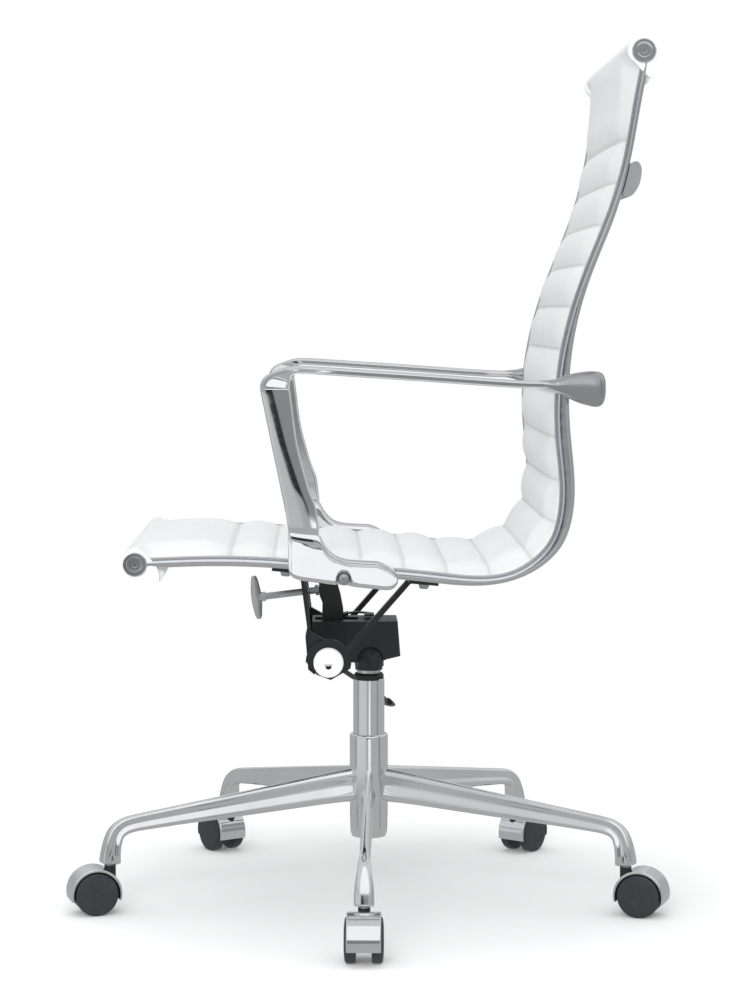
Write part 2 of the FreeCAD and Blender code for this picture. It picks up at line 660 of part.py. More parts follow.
def make_rail():
    """Left-hand side rail, with a ring at each end round the cross tube."""
    x0 = RAIL_OUTER_X - RAIL_WIDTH
    depths = [depth for _, _, depth, _ in SIDE_PROFILE]
    rail = profile_solid([0.0] * len(depths), depths, x0, RAIL_OUTER_X)
    rings = [cylinder_x(ROLL_RADIUS - 0.2, x0, RAIL_OUTER_X, *centre)
             for centre in (FRONT_TUBE, TOP_TUBE)]
    necks = [slab_x([(-243, 415.6), (-243, 424.8), (-256, 427), (-256, 413.5)], x0, RAIL_OUTER_X),
             slab_x([(300.6, 965.8), (293.7, 966.6), (288, 976), (303, 976)], x0, RAIL_OUTER_X)]
    rail = fused(rail, *rings, *necks)
    for centre in (FRONT_TUBE, TOP_TUBE):
        rail = rail.cut(cylinder_x(TUBE_CORE + SNUG, x0 - 1, RAIL_OUTER_X + 1, *centre))
    return rail


def make_cross_tube(centre):
    tube = cylinder_x(TUBE_CORE, -RAIL_OUTER_X, RAIL_OUTER_X, *centre)
    return tube.cut(cylinder_x(TUBE_CORE - 2, -RAIL_OUTER_X - 1, RAIL_OUTER_X + 1, *centre))


def make_tube_end_caps():
    """Polished discs with concentric steps on the four tube ends."""
    caps = []
    for centre in (FRONT_TUBE, TOP_TUBE):
        face = RAIL_OUTER_X
        cap = turned([
            (0, face - 12), (TUBE_CORE - 2 - SNUG, face - 12), (TUBE_CORE - 2 - SNUG, face),
            (ROLL_RADIUS, face), (ROLL_RADIUS, face + 2.6), (ROLL_RADIUS - 1.2, face + 3.6),
            (9.2, face + 3.6), (8.4, face + 2.6), (7.6, face + 2.6), (6.8, face + 3.8),
            (3.4, face + 3.8), (3.0, face + 2.8), (0, face + 2.8),
        ], V(0, centre[0], centre[1]), V(1, 0, 0))
        caps += [cap, mirrored(cap)]
    return Part.makeCompound(caps)


def make_leather_sling():
    """Padded sling between the rails, wrapped round the front and top tubes."""
    count = len(SIDE_PROFILE)
    pads = [pad for _, _, _, pad in SIDE_PROFILE]
    sling = profile_solid([SLING_UNDERSIDE] * count, pads, -SLING_HALF, SLING_HALF)
    wraps = [cylinder_x(WRAP_RADIUS, -SLING_HALF, SLING_HALF, *centre)
             for centre in (FRONT_TUBE, TOP_TUBE)]
    joins = [slab_x([(-243, 417.8), (-243, 434.4), (-262, 436.9), (-262, 410)], -SLING_HALF,
                    SLING_HALF),
             slab_x([(298.0, 965.8), (285.9, 968.2), (278, 976), (305, 980)], -SLING_HALF,
                    SLING_HALF)]
    sling = fused(sling, *wraps, *joins)
    for centre in (FRONT_TUBE, TOP_TUBE):
        sling = sling.cut(cylinder_x(TUBE_CORE + 0.3, -300, 300, *centre))
    return sling


# ---------------------------------------------------------------- arms and spreaders
# Arm sections from the rear to the foot: (y, z) of the middle, heading in degrees (180 points
# forwards, 270 down), thickness in the side plane and width across the chair.
ARM_SECTIONS = [
    (198.0, 618.6, 177.0, 12.0, 20.0),
    (160.0, 619.2, 177.5, 10.4, 28.0),
    (110.0, 620.6, 176.5, 10.2, 31.0),
    (0.0, 626.6, 176.3, 10.2, ARM_WIDTH),
    (-70.0, 631.8, 176.5, 10.4, ARM_WIDTH),
    (-93.0, 629.6, 196.0, 14.5, 31.0),
    (-104.0, 620.5, 228.0, 24.0, 28.0),
    (-104.4, 600.0, 278.0, 32.0, 20.0),
    (-97.0, 560.0, 281.0, 31.0, 15.0),
    (-87.0, 514.0, 282.5, 28.6, 13.0),
    (-79.0, 482.0, 281.5, 31.0, 13.0),
    (-73.5, 452.0, 279.0, 36.5, 16.0),
    (-71.0, 430.0, 275.0, 38.0, 18.0),
]


def arm_section(y, z, heading, thick, width):
    """Rounded-rectangle outline square to the arm's path."""
    angle = math.radians(heading)
    across = (-math.sin(angle), math.cos(angle))
    points = []
    count = 16
    for i in range(count):
        turn = 2 * math.pi * i / count
        c, s = math.cos(turn), math.sin(turn)
        squared = (abs(c) ** 3.2 + abs(s) ** 3.2) ** (-1 / 3.2)
        a = thick / 2 * c * squared
        b = width / 2 * s * squared
        points.append((ARM_X + b, y + across[0] * a, z + across[1] * a))
    return closed_spline(points)


FOOT_OUTLINE = [
    (-90.2, 446.0), (-90.0, 412.0), (-86.5, 407.4), (-78.4, 405.0), (-39.6, 400.0), (14.0, 394.2),
    (22.5, 396.2), (26.6, 402.0), (26.6, 409.7), (20.8, 417.4), (9.1, 423.8), (-20.0, 424.4),
    (-32.0, 426.0), (-45.0, 433.0), (-54.4, 446.0),
]


def make_arm():
    """Left-hand armrest: flat bar, blade and the foot bolted to the rail."""
    sections = [arm_section(*values) for values in evenly_spaced(ARM_SECTIONS, 34)]
    arm = Part.makeLoft(sections, True, False)
    foot = slab_x(FOOT_OUTLINE, RAIL_OUTER_X + 0.3, ARM_X + 7.5)
    foot = softened(foot, 3.0, lambda edge: edge.BoundBox.XMin > ARM_X + 7)
    arm = fused(arm, foot)
    recess = cylinder_x(7.2, ARM_X + 4.0, ARM_X + 20, *FOOT_BOLT)
    return arm.cut(recess).cut(cylinder_x(3.6, RAIL_OUTER_X - 5, ARM_X + 10, *FOOT_BOLT))


def ellipse_x(x, y, z, half_y, half_z, tilt=0.0):
    """Upright oval outline in a plane of constant X."""
    points = []
    lean = math.radians(tilt)
    for i in range(12):
        turn = 2 * math.pi * i / 12
        a, b = half_y * math.cos(turn), half_z * math.sin(turn)
        points.append((x, y + a * math.cos(lean) - b * math.sin(lean),
                       z + a * math.sin(lean) + b * math.cos(lean)))
    return closed_spline(points)


def oval_y(x, y, z, half_x, half_z):
    """Oval outline in a plane of constant Y."""
    points = []
    for i in range(12):
        turn = 2 * math.pi * i / 12
        points.append((x + half_x * math.cos(turn), y, z + half_z * math.sin(turn)))
    return closed_spline(points)


def make_back_spreader():
    """Cast bar behind the back; its flared ends pass the rails and meet the arms."""
    half = 246.0
    bar = Part.makeLoft([
        ellipse_x(-half, 234.0, 612.0, 15.0, 19.0), ellipse_x(-150, 231.0, 612.0, 9.0, 14.0),
        ellipse_x(0, 230.0, 612.0, 8.0, 13.0), ellipse_x(150, 231.0, 612.0, 9.0, 14.0),
        ellipse_x(half, 234.0, 612.0, 15.0, 19.0),
    ], True, False)
    flare = Part.makeLoft([
        oval_y(ARM_X - 4, 198.4, 616.6, 8.5, 8.0), oval_y(ARM_X - 6, 212, 614.8, 11, 14.0),
        oval_y(ARM_X - 9, 228, 612.8, 15, 18.0), oval_y(ARM_X - 12, 243, 612.0, 17, 19.4),
        oval_y(ARM_X - 14, 252, 613.0, 12, 14.0),
    ], True, False)
    spreader = fused(bar, flare, mirrored(flare))
    keep_out = block(-RAIL_OUTER_X - 0.3, RAIL_OUTER_X + 0.3, 150, 216.9, 560, 660)
    return spreader.cut(keep_out)


def make_upper_spreader():
    """Slim bar behind the head panel."""
    lean = -16.5
    half = RAIL_OUTER_X - 2
    centre_y, centre_z = 282.2, 840.5
    bar = Part.makeLoft([ellipse_x(x, centre_y, centre_z, 9.5, 20.0, lean)
                         for x in (-half, 0, half)], True, True)
    behind_rails = profile_solid([-60.0] * len(SIDE_PROFILE), [-0.3] * len(SIDE_PROFILE), -300, 300)
    return bar.common(behind_rails)


# ---------------------------------------------------------------- fasteners
def bolt(head_radius, head, shank_radius, shank):
    """Bolt along +Z with its head below Z = 0."""
    return turned([
        (0, -head), (head_radius * 0.75, -head), (head_radius, -head * 0.45), (head_radius, 0),
        (shank_radius, 0), (shank_radius, shank), (0, shank),
    ])


def plate_bolts():
    """Bolts up through the two under-seat plates."""
    bolts = []
    for x, y, z in ((FRONT_BOLT_X, FRONT_BOLT_Y, 409.95), (REAR_BOLT_X, REAR_BOLT_Y, 395.6)):
        piece = bolt(5.8, 6.0, 3.0, 3.2)
        piece.rotate(V(0, 0, 0), V(1, 0, 0), SEAT_TILT_DEG)
        piece.translate(V(x, y, z))
        bolts += [piece, mirrored(piece)]
    return bolts


def arm_bolts():
    """Round-headed bolts through the arm feet."""
    piece = turned([
        (0, RAIL_OUTER_X + 0.4), (3.5, RAIL_OUTER_X + 0.4), (3.5, ARM_X + 4.1),
        (6.9, ARM_X + 4.1), (6.9, ARM_X + 6.0), (5.4, ARM_X + 8.6), (2.4, ARM_X + 9.4),
        (0, ARM_X + 9.4),
    ], V(0, FOOT_BOLT[0], FOOT_BOLT[1]), V(1, 0, 0))
    return [piece, mirrored(piece)]


def make_frame_bolts():
    return Part.makeCompound(plate_bolts() + arm_bolts())


def with_bolt_holes(plate, x, y):
    holes = [cylinder(BOLT_HOLE, 380, 430, sign * x, y) for sign in (-1, 1)]
    return plate.cut(holes[0].fuse(holes[1]))


# ---------------------------------------------------------------- assembly
def build_nodes():
    nodes = {
        "star_base": make_star_base(),
        "caster_stems": make_caster_stems(),
        "column_tube": make_column_tube(),
        "guide_bushing": make_guide_bushing(),
        "thrust_bearing": make_thrust_bearing(),
        "piston_rod": make_piston_rod(),
        "retaining_clip": make_retaining_clip(),
        "gas_cylinder": make_gas_cylinder(),
        "release_button": make_release_button(),
        "tilt_housing": make_tilt_housing(),
        "tilt_tube": make_tilt_tube(),
        "torsion_bar": make_torsion_bar(),
        "axle_end_caps": make_axle_end_caps(),
        "torsion_arm": make_torsion_arm(),
        "tension_rod": make_tension_rod(),
        "tension_handle": make_tension_handle(),
        "tension_nut": make_tension_nut(),
        "front_cross_plate": with_bolt_holes(make_front_cross_plate(), FRONT_BOLT_X, FRONT_BOLT_Y),
        "rear_cross_plate": with_bolt_holes(make_rear_cross_plate(), REAR_BOLT_X, REAR_BOLT_Y),
        "release_rocker": make_release_rocker(),
        "height_lever": make_height_lever(),
        "lever_paddle": make_lever_paddle(),
        "front_tube": make_cross_tube(FRONT_TUBE),
        "top_tube": make_cross_tube(TOP_TUBE),
        "tube_end_caps": make_tube_end_caps(),
        "leather_sling": make_leather_sling(),
        "back_spreader": make_back_spreader(),
        "upper_spreader": make_upper_spreader(),
        "frame_bolts": make_frame_bolts(),
    }
    for name, left in (("carrier", make_carrier()), ("rail", make_rail()), ("arm", make_arm())):
        nodes[name + "_left"] = left
        nodes[name + "_right"] = mirrored(left)
    caster = {
        "yoke": caster_yoke(), "hood": caster_hood(), "axle": caster_axle(),
        "wheel_a": caster_wheel(1), "wheel_b": caster_wheel(-1),
    }
    for index in range(LEG_COUNT):
        for piece, shape in caster.items():
            nodes["caster%d_%s" % (index + 1, piece)] = placed_at_leg(shape, index)
    return nodes


os.makedirs("parts", exist_ok=True)
for node, shape in build_nodes().items():
    solids = shape.Solids
    print("%-20s solids %2d valid %s volume %10.0f mm3" % (
        node, len(solids), all(s.isValid() for s in solids), shape.Volume))
    shape.exportStep("parts/%s.step" % node)
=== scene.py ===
"""Looks of the swivel office chair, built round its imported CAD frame.

Metres. +Z is up, the chair faces -Y and +X is the sitter's left-hand side.
"""
import json
import math

import bmesh
import bpy
import numpy as np
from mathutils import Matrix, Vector


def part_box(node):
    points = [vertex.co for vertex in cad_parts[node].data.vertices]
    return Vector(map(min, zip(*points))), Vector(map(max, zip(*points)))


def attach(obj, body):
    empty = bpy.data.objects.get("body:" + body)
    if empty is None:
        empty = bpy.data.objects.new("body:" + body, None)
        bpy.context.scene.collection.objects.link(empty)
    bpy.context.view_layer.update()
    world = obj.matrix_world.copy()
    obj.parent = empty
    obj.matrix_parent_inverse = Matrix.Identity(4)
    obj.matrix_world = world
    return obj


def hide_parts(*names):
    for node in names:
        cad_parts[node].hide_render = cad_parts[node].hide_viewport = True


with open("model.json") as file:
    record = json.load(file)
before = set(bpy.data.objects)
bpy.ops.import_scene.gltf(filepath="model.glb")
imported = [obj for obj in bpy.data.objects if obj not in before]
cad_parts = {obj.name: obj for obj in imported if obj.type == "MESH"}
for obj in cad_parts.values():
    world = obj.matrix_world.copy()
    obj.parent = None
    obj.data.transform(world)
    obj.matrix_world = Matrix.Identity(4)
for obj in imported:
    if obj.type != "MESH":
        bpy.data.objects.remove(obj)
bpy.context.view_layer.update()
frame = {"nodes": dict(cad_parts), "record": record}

MM = 0.001
NODES = frame["nodes"]

# ---------------------------------------------------------------- driving sizes
RAIL_OUTER_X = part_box("rail_left")[1].x
SLING_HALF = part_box("leather_sling")[1].x
ROLL_RADIUS = 0.017             # leather wrapped round a cross tube
WRAP_HALF = RAIL_OUTER_X - 0.0003   # the wraps cover the ends of the rails
CROWN_HALF = 0.163              # half width of the padded crown
SEAM_PITCH = 0.04808
FIRST_SEAM = 0.0876
SEAM_COUNT = 18
SEAM_DEPTH = 0.0064
BACK_SEAM_DEPTH = 0.0022
TUCK_ABOVE_RAIL = 0.0012        # leather's edge above the rail's inner edge
BACK_ABOVE_RAIL = 0.0028        # leather's rear face above the rail's outer edge

# Side outline, front to top: (y, z) of the rail's outer edge, depth of the rail and
# height of the cushion's crown above that edge.
SIDE_PROFILE = [
    (-0.2440, 0.4155, 0.0094, 0.0212),
    (-0.1680, 0.4174, 0.0096, 0.0215),
    (-0.1150, 0.4156, 0.0096, 0.0210),
    (-0.0200, 0.4072, 0.0098, 0.0226),
    (0.0630, 0.3990, 0.0104, 0.0225),
    (0.1130, 0.3952, 0.0094, 0.0215),
    (0.1485, 0.3994, 0.0086, 0.0235),
    (0.1835, 0.4148, 0.0108, 0.0270),
    (0.2090, 0.4406, 0.0134, 0.0295),
    (0.2200, 0.4737, 0.0146, 0.0290),
    (0.2220, 0.4950, 0.0148, 0.0275),
    (0.2178, 0.5560, 0.0154, 0.0245),
    (0.2152, 0.6050, 0.0138, 0.0210),
    (0.2212, 0.6710, 0.0102, 0.0175),
    (0.2390, 0.7360, 0.0078, 0.0165),
    (0.2645, 0.8010, 0.0076, 0.0158),
    (0.2820, 0.8660, 0.0064, 0.0162),
    (0.2936, 0.9310, 0.0068, 0.0162),
    (0.3005, 0.9660, 0.0070, 0.0222),
]


def centre_of(node):
    """(y, z) of the middle of a CAD node's box."""
    low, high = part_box(node)
    return (low.y + high.y) / 2, (low.z + high.z) / 2


FRONT_TUBE = centre_of("front_tube")
TOP_TUBE = centre_of("top_tube")
CAP_CENTRE = centre_of("axle_end_caps")
CAP_FACE_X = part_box("axle_end_caps")[1].x


# ---------------------------------------------------------------- scene helpers
def linked(name, data):
    obj = bpy.data.objects.new(name, data)
    bpy.context.scene.collection.objects.link(obj)
    return obj


def mesh_object(name, points, faces, material=None):
    """Smooth-shaded object from points and faces."""
    mesh = bpy.data.meshes.new(name)
    mesh.from_pydata([tuple(p) for p in points], [], [tuple(f) for f in faces])
    mesh.validate()
    mesh.polygons.foreach_set("use_smooth", [True] * len(mesh.polygons))
    obj = linked(name, mesh)
    if material:
        mesh.materials.append(material)
    return obj


def outward(obj):
    """Make all faces of a closed mesh point outwards."""
    work = bmesh.new()
    work.from_mesh(obj.data)
    bmesh.ops.recalc_face_normals(work, faces=work.faces)
    work.to_mesh(obj.data)
    work.free()
    return obj


def applied(obj):
    """Turn the modifiers of an object into its mesh."""
    bpy.context.view_layer.update()
    graph = bpy.context.evaluated_depsgraph_get()
    mesh = bpy.data.meshes.new_from_object(obj.evaluated_get(graph), depsgraph=graph)
    obj.modifiers.clear()
    obj.data = mesh
    return obj


def tube_grid(rings):
    """Faces of a grid of closed rings."""
    count = len(rings[0])
    faces = []
    for r in range(len(rings) - 1):
        for c in range(count):
            d = (c + 1) % count
            faces.append((r * count + c, r * count + d, (r + 1) * count + d, (r + 1) * count + c))
    return faces


def subdivided(obj):
    """The object with one step of smooth subdivision."""
    subdivide = obj.modifiers.new("subdivision", "SUBSURF")
    subdivide.levels = subdivide.render_levels = 1
    return applied(obj)


def swept(name, rings, material):
    """Closed solid through rings of points, with flat ends, subdivided."""
    points = [p for ring in rings for p in ring]
    faces = tube_grid(rings)
    count = len(rings[0])
    last = (len(rings) - 1) * count
    faces.append(tuple(range(count))[::-1])
    faces.append(tuple(range(last, last + count)))
    return subdivided(outward(mesh_object(name, points, faces, material)))


class Curve:
    """Natural cubic curve through rows of numbers, by distance along their first two."""

    def __init__(self, rows):
        self.rows = np.array(rows, float)
        steps = np.hypot(*np.diff(self.rows[:, :2], axis=0).T)
        self.stations = np.concatenate([[0.0], np.cumsum(steps)])
        self.length = self.stations[-1]
        count = len(self.rows)
        system = np.eye(count)
        target = np.zeros_like(self.rows)
        for i in range(1, count - 1):
            before, after = steps[i - 1], steps[i]
            system[i, i - 1:i + 2] = before, 2 * (before + after), after
            target[i] = 6 * ((self.rows[i + 1] - self.rows[i]) / after
                             - (self.rows[i] - self.rows[i - 1]) / before)
        self.bend = np.linalg.solve(system, target)

    def at(self, place):
        """Values and their slopes at a distance; straight beyond the ends."""
        inside = min(max(place, 0.0), self.length)
        i = int(np.clip(np.searchsorted(self.stations, inside) - 1, 0, len(self.rows) - 2))
        span = self.stations[i + 1] - self.stations[i]
        a = (self.stations[i + 1] - inside) / span
        b = 1 - a
        value = (a * self.rows[i] + b * self.rows[i + 1]
                 + ((a**3 - a) * self.bend[i] + (b**3 - b) * self.bend[i + 1]) * span**2 / 6)
        slope = ((self.rows[i + 1] - self.rows[i]) / span
                 + ((3 * b * b - 1) * self.bend[i + 1] - (3 * a * a - 1) * self.bend[i]) * span / 6)
        return value + slope * (place - inside), slope


SIDE = Curve(SIDE_PROFILE)


def side_frame(place):
    """Point on the rail's outer edge, inward normal, rail depth and crown height."""
    value, slope = SIDE.at(place)
    size = math.hypot(slope[0], slope[1])
    normal = np.array([-slope[1], slope[0]]) / size
    return value[:2], normal, value[2], value[3]


def circle(steps):
    """Cosine and sine of evenly spaced angles all the way round."""
    turns = [2 * math.pi * k / steps for k in range(steps)]
    return [(math.cos(turn), math.sin(turn)) for turn in turns]


def smooth_step(low, high, value):
    t = min(max((value - low) / (high - low), 0.0), 1.0)
    return t * t * (3 - 2 * t)


# ---------------------------------------------------------------- materials
class Shader:
    """A Principled material with short ways to add nodes and links."""

    def __init__(self, name, colour, roughness, metallic=0.0):
        self.material = bpy.data.materials.new(name)
        self.material.use_nodes = True
        self.tree = self.material.node_tree
        self.shader = self.tree.nodes["Principled BSDF"]
        self.shader.inputs["Base Color"].default_value = (*colour, 1)
        self.shader.inputs["Roughness"].default_value = roughness
        self.shader.inputs["Metallic"].default_value = metallic
        self.place = self.node("ShaderNodeTexCoord").outputs["Object"]

    def node(self, kind, **settings):
        made = self.tree.nodes.new(kind)
        for key, value in settings.items():
            setattr(made, key, value)
        return made

    def link(self, source, target):
        self.tree.links.new(source, target)

    def noise(self, scale, detail=3.0, roughness=0.55, stretch=None):
        made = self.node("ShaderNodeTexNoise")
        made.inputs["Scale"].default_value = scale
        made.inputs["Detail"].default_value = detail
        made.inputs["Roughness"].default_value = roughness
        self.link(self.stretched(stretch), made.inputs["Vector"])
        return made.outputs["Fac"]

    def cells(self, scale, feature="DISTANCE_TO_EDGE"):
        made = self.node("ShaderNodeTexVoronoi", feature=feature)
        made.inputs["Scale"].default_value = scale
        self.link(self.place, made.inputs["Vector"])
        return made.outputs["Distance"]

    def stretched(self, stretch):
        if stretch is None:
            return self.place
        made = self.node("ShaderNodeMapping")
        made.inputs["Scale"].default_value = stretch
        self.link(self.place, made.inputs["Vector"])
        return made.outputs["Vector"]

    def ramp(self, value, low, high, out_low, out_high):
        made = self.node("ShaderNodeMapRange")
        for key, number in (("From Min", low), ("From Max", high), ("To Min", out_low),
                            ("To Max", out_high)):
            made.inputs[key].default_value = number
        self.link(value, made.inputs["Value"])
        return made.outputs["Result"]

    def mixed(self, factor, low, high):
        """Colour between two colours."""
        made = self.node("ShaderNodeMix", data_type="RGBA")
        for socket, colour in (("A_Color", low), ("B_Color", high)):
            found = next(s for s in made.inputs if s.identifier == socket)
            if isinstance(colour, tuple):
                found.default_value = (*colour, 1)
            else:
                self.link(colour, found)
        self.link(factor, made.inputs[0])
        return next(s for s in made.outputs if s.identifier == "Result_Color")

    def bump(self, height, strength, distance, before=None):
        made = self.node("ShaderNodeBump")
        made.inputs["Strength"].default_value = strength
        made.inputs["Distance"].default_value = distance
        self.link(height, made.inputs["Height"])
        if before is not None:
            self.link(before, made.inputs["Normal"])
        return made.outputs["Normal"]

    def finish(self, colour=None, roughness=None, normal=None):
        for value, key in ((colour, "Base Color"), (roughness, "Roughness"), (normal, "Normal")):
            if value is not None:
                self.link(value, self.shader.inputs[key])
        return self.material


def polished_metal(name, colour, rough, wave=0.02):
    """Hand-polished casting: faint waves, fine buffing marks and small stains."""
    s = Shader(name, colour, rough, 1.0)
    dull = tuple(c * 0.93 for c in colour)
    tone = s.mixed(s.ramp(s.noise(9, 4), 0.35, 0.7, 0.0, 1.0), colour, dull)
    marks = s.noise(260, 2, stretch=(1.0, 0.12, 1.0))
    roughness = s.ramp(marks, 0.3, 0.75, rough * 0.85, rough * 1.3)
    waves = s.bump(s.noise(34, 1.5), wave, 0.0006)
    normal = s.bump(marks, 0.01, 0.0001, waves)
    return s.finish(tone, roughness, normal)


def satin_metal(name, colour, rough):
    """Painted or blasted metal with a fine even grain."""
    s = Shader(name, colour, rough, 0.75)
    tone = s.mixed(s.ramp(s.noise(14, 4), 0.3, 0.7, 0.0, 1.0), colour, tuple(c * 0.9 for c in colour))
    grain = s.noise(2600, 2)
    roughness = s.ramp(s.noise(60, 3), 0.3, 0.7, rough - 0.04, rough + 0.06)
    return s.finish(tone, roughness, s.bump(grain, 0.12, 0.0001))


def brushed_steel(name, colour, rough):
    s = Shader(name, colour, rough, 1.0)
    lines = s.noise(420, 3, stretch=(0.06, 1.0, 1.0))
    tone = s.mixed(s.ramp(lines, 0.3, 0.7, 0, 1), colour, tuple(c * 0.82 for c in colour))
    return s.finish(tone, s.ramp(lines, 0.3, 0.7, rough - 0.05, rough + 0.1), s.bump(lines, 0.08, 0.0001))


def powder_coat(name, colour, rough):
    """Black powder coat with a slight orange peel and greyer rubbed spots."""
    s = Shader(name, colour, rough)
    s.shader.inputs["Coat Weight"].default_value = 0.25
    s.shader.inputs["Coat Roughness"].default_value = 0.3
    rubbed = s.ramp(s.noise(45, 5, 0.7), 0.58, 0.75, 0.0, 1.0)
    tone = s.mixed(rubbed, colour, tuple(c * 1.9 for c in colour))
    return s.finish(tone, s.ramp(s.noise(120, 3), 0.3, 0.7, rough - 0.06, rough + 0.08),
                    s.bump(s.noise(1300, 2), 0.22, 0.0002))


def moulded_plastic(name, colour, rough, texture=0.2):
    """Injection-moulded plastic with a spark-eroded grain."""
    s = Shader(name, colour, rough)
    tone = s.mixed(s.ramp(s.noise(22, 4), 0.35, 0.7, 0, 1), colour, tuple(c * 0.86 for c in colour))
    grain = s.cells(1500, "F1")
    return s.finish(tone, s.ramp(s.noise(80, 3), 0.3, 0.7, rough - 0.04, rough + 0.07),
                    s.bump(grain, texture, 0.0002))


def caster_rubber(name, colour, rough):
    """Grey-black wheel plastic, scuffed and dusty in patches."""
    s = Shader(name, colour, rough)
    dust = s.ramp(s.noise(65, 6, 0.7), 0.5, 0.8, 0.0, 0.55)
    tone = s.mixed(dust, colour, tuple(c * 1.7 + 0.01 for c in colour))
    return s.finish(tone, s.ramp(s.noise(150, 4), 0.3, 0.7, rough - 0.05, rough + 0.12),
                    s.bump(s.noise(900, 3), 0.15, 0.0002))


def white_leather(name):
    """Corrected-grain leather: pebbled grain, soft creases, and painted shade darkening the sunken seams.
    """
    s = Shader(name, (0.84, 0.85, 0.85), 0.42)
    s.shader.inputs["Sheen Weight"].default_value = 0.06
    s.shader.inputs["Sheen Roughness"].default_value = 0.5
    s.shader.inputs["Specular IOR Level"].default_value = 0.45
    patches = s.ramp(s.noise(7, 5, 0.6), 0.3, 0.72, 0.0, 1.0)
    tone = s.mixed(patches, (0.845, 0.852, 0.850), (0.800, 0.812, 0.814))
    # Painted shade: the leather turns grey along the sunken seams, by the seam attribute.
    seam = s.node("ShaderNodeAttribute", attribute_name="seam").outputs["Fac"]
    tone = s.mixed(s.ramp(seam, 0.0, 1.0, 0.0, 0.55), tone, (0.50, 0.50, 0.49))
    pores = s.ramp(s.cells(760), 0.0, 0.12, 0.0, 1.0)
    tone = s.mixed(s.ramp(pores, 0.0, 1.0, 0.16, 0.0), tone, (0.66, 0.67, 0.67))
    roughness = s.ramp(s.noise(190, 4), 0.3, 0.7, 0.36, 0.52)
    creases = s.bump(s.noise(95, 5, 0.6, stretch=(0.5, 1.0, 1.0)), 0.16, 0.0008)
    grain = s.bump(pores, 0.30, 0.00018, creases)
    fine = s.bump(s.noise(3200, 2), 0.10, 0.0001, grain)
    return s.finish(tone, roughness, fine)


MATERIALS = {
    "polished_aluminium": polished_metal("polished_aluminium", (0.86, 0.865, 0.87), 0.075),
    "satin_aluminium": satin_metal("satin_aluminium", (0.46, 0.47, 0.48), 0.36),
    "chrome": polished_metal("chrome", (0.84, 0.85, 0.86), 0.06, 0.01),
    "black_steel": powder_coat("black_steel", (0.0066, 0.0074, 0.0084), 0.40),
    "plain_steel": brushed_steel("plain_steel", (0.52, 0.53, 0.54), 0.28),
    "black_plastic": moulded_plastic("black_plastic", (0.012, 0.012, 0.013), 0.42),
    "white_plastic": moulded_plastic("white_plastic", (0.82, 0.825, 0.82), 0.32, 0.05),
    "white_leather": white_leather("white_leather"),
    "wheel_plastic": caster_rubber("wheel_plastic", (0.023, 0.026, 0.030), 0.46),
}

LEG_METAL = polished_metal("leg_aluminium", (0.86, 0.865, 0.87), 0.11, 0.004)
SPREADER_METAL = polished_metal("spreader_aluminium", (0.50, 0.515, 0.525), 0.24, 0.005)
RAIL_METAL = polished_metal("rail_aluminium", (0.72, 0.73, 0.75), 0.17, 0.003)
OWN_FINISH = {
    "tension_rod": satin_metal("satin_rod", (0.50, 0.51, 0.52), 0.30),
    "tension_handle": satin_metal("satin_handle", (0.56, 0.57, 0.58), 0.30),
    "gas_cylinder": polished_metal("cylinder_chrome", (0.62, 0.63, 0.64), 0.12, 0.01),
}


def dress_cad_nodes():
    """Give every CAD node the procedural material of its slot, or its own finish."""
    for row in frame["record"]["subparts"]:
        obj = NODES[row["node"]]
        material = OWN_FINISH.get(row["node"], MATERIALS[row["material_slot"]])
        obj.data.materials.clear()
        obj.data.materials.append(material)


# ---------------------------------------------------------------- camera, light, floor
CAMERA_PLACE = (3.1174, -0.0593, 0.692)
CAMERA_TURN = (86.0, 0.0, 88.972)   # degrees
CAMERA_LENS = 94.9


def make_camera():
    data = bpy.data.cameras.new("camera")
    data.lens = CAMERA_LENS
    camera = linked("camera", data)
    camera.location = CAMERA_PLACE
    camera.rotation_euler = [math.radians(angle) for angle in CAMERA_TURN]
    bpy.context.scene.camera = camera


def area_light(name, place, aim, size, power):
    data = bpy.data.lights.new(name, "AREA")
    data.shape = "RECTANGLE"
    data.size, data.size_y = size
    data.energy = power
    light = linked(name, data)
    light.visible_glossy = False
    light.location = place
    light.rotation_euler = (Vector(aim) - Vector(place)).to_track_quat("-Z", "Y").to_euler()


# The room that lights matt surfaces: its level, and how much brighter its +X side is.
ROOM_LEVEL = 0.745
ROOM_SLOPE = 0.40
# The studio that only reflections see: grey walls fade into a lighter ceiling between two
# rises (sine of the angle above the horizon).
STUDIO_BRIGHTNESS = 1.12
CEILING_DARKNESS = 0.38
WALL_DARKNESS = 0.22            # on top of the ceiling's
WALL_FADE = (0.08, 0.36)
FOOT_FADE, HEAD_FADE = 0.02, 0.035   # soft ends of a strip, as rises
# Bright patches and dark strips on those walls: azimuth from +X, half width and soft edge
# in degrees, lowest and highest rise, depth.
PATCHES = [(3, 6, 4, -0.215, -0.15, 1.0), (-50, 30, 5, -0.25, 0.14, 0.30),
           (2, 20, 12, 0.20, 0.93, 0.95)]
STRIPS = [(-10, 5.5, 2.5, -0.11, 0.16, 0.98), (4, 12, 6, -0.10, 0.16, 0.76),
          (-86, 5, 8, -0.3, 0.45, 0.70), (66, 5, 8, -0.3, 0.5, 0.74),
          (150, 14, 10, -0.1, 0.4, 0.5), (-128, 12, 10, -0.2, 0.5, 0.6)]


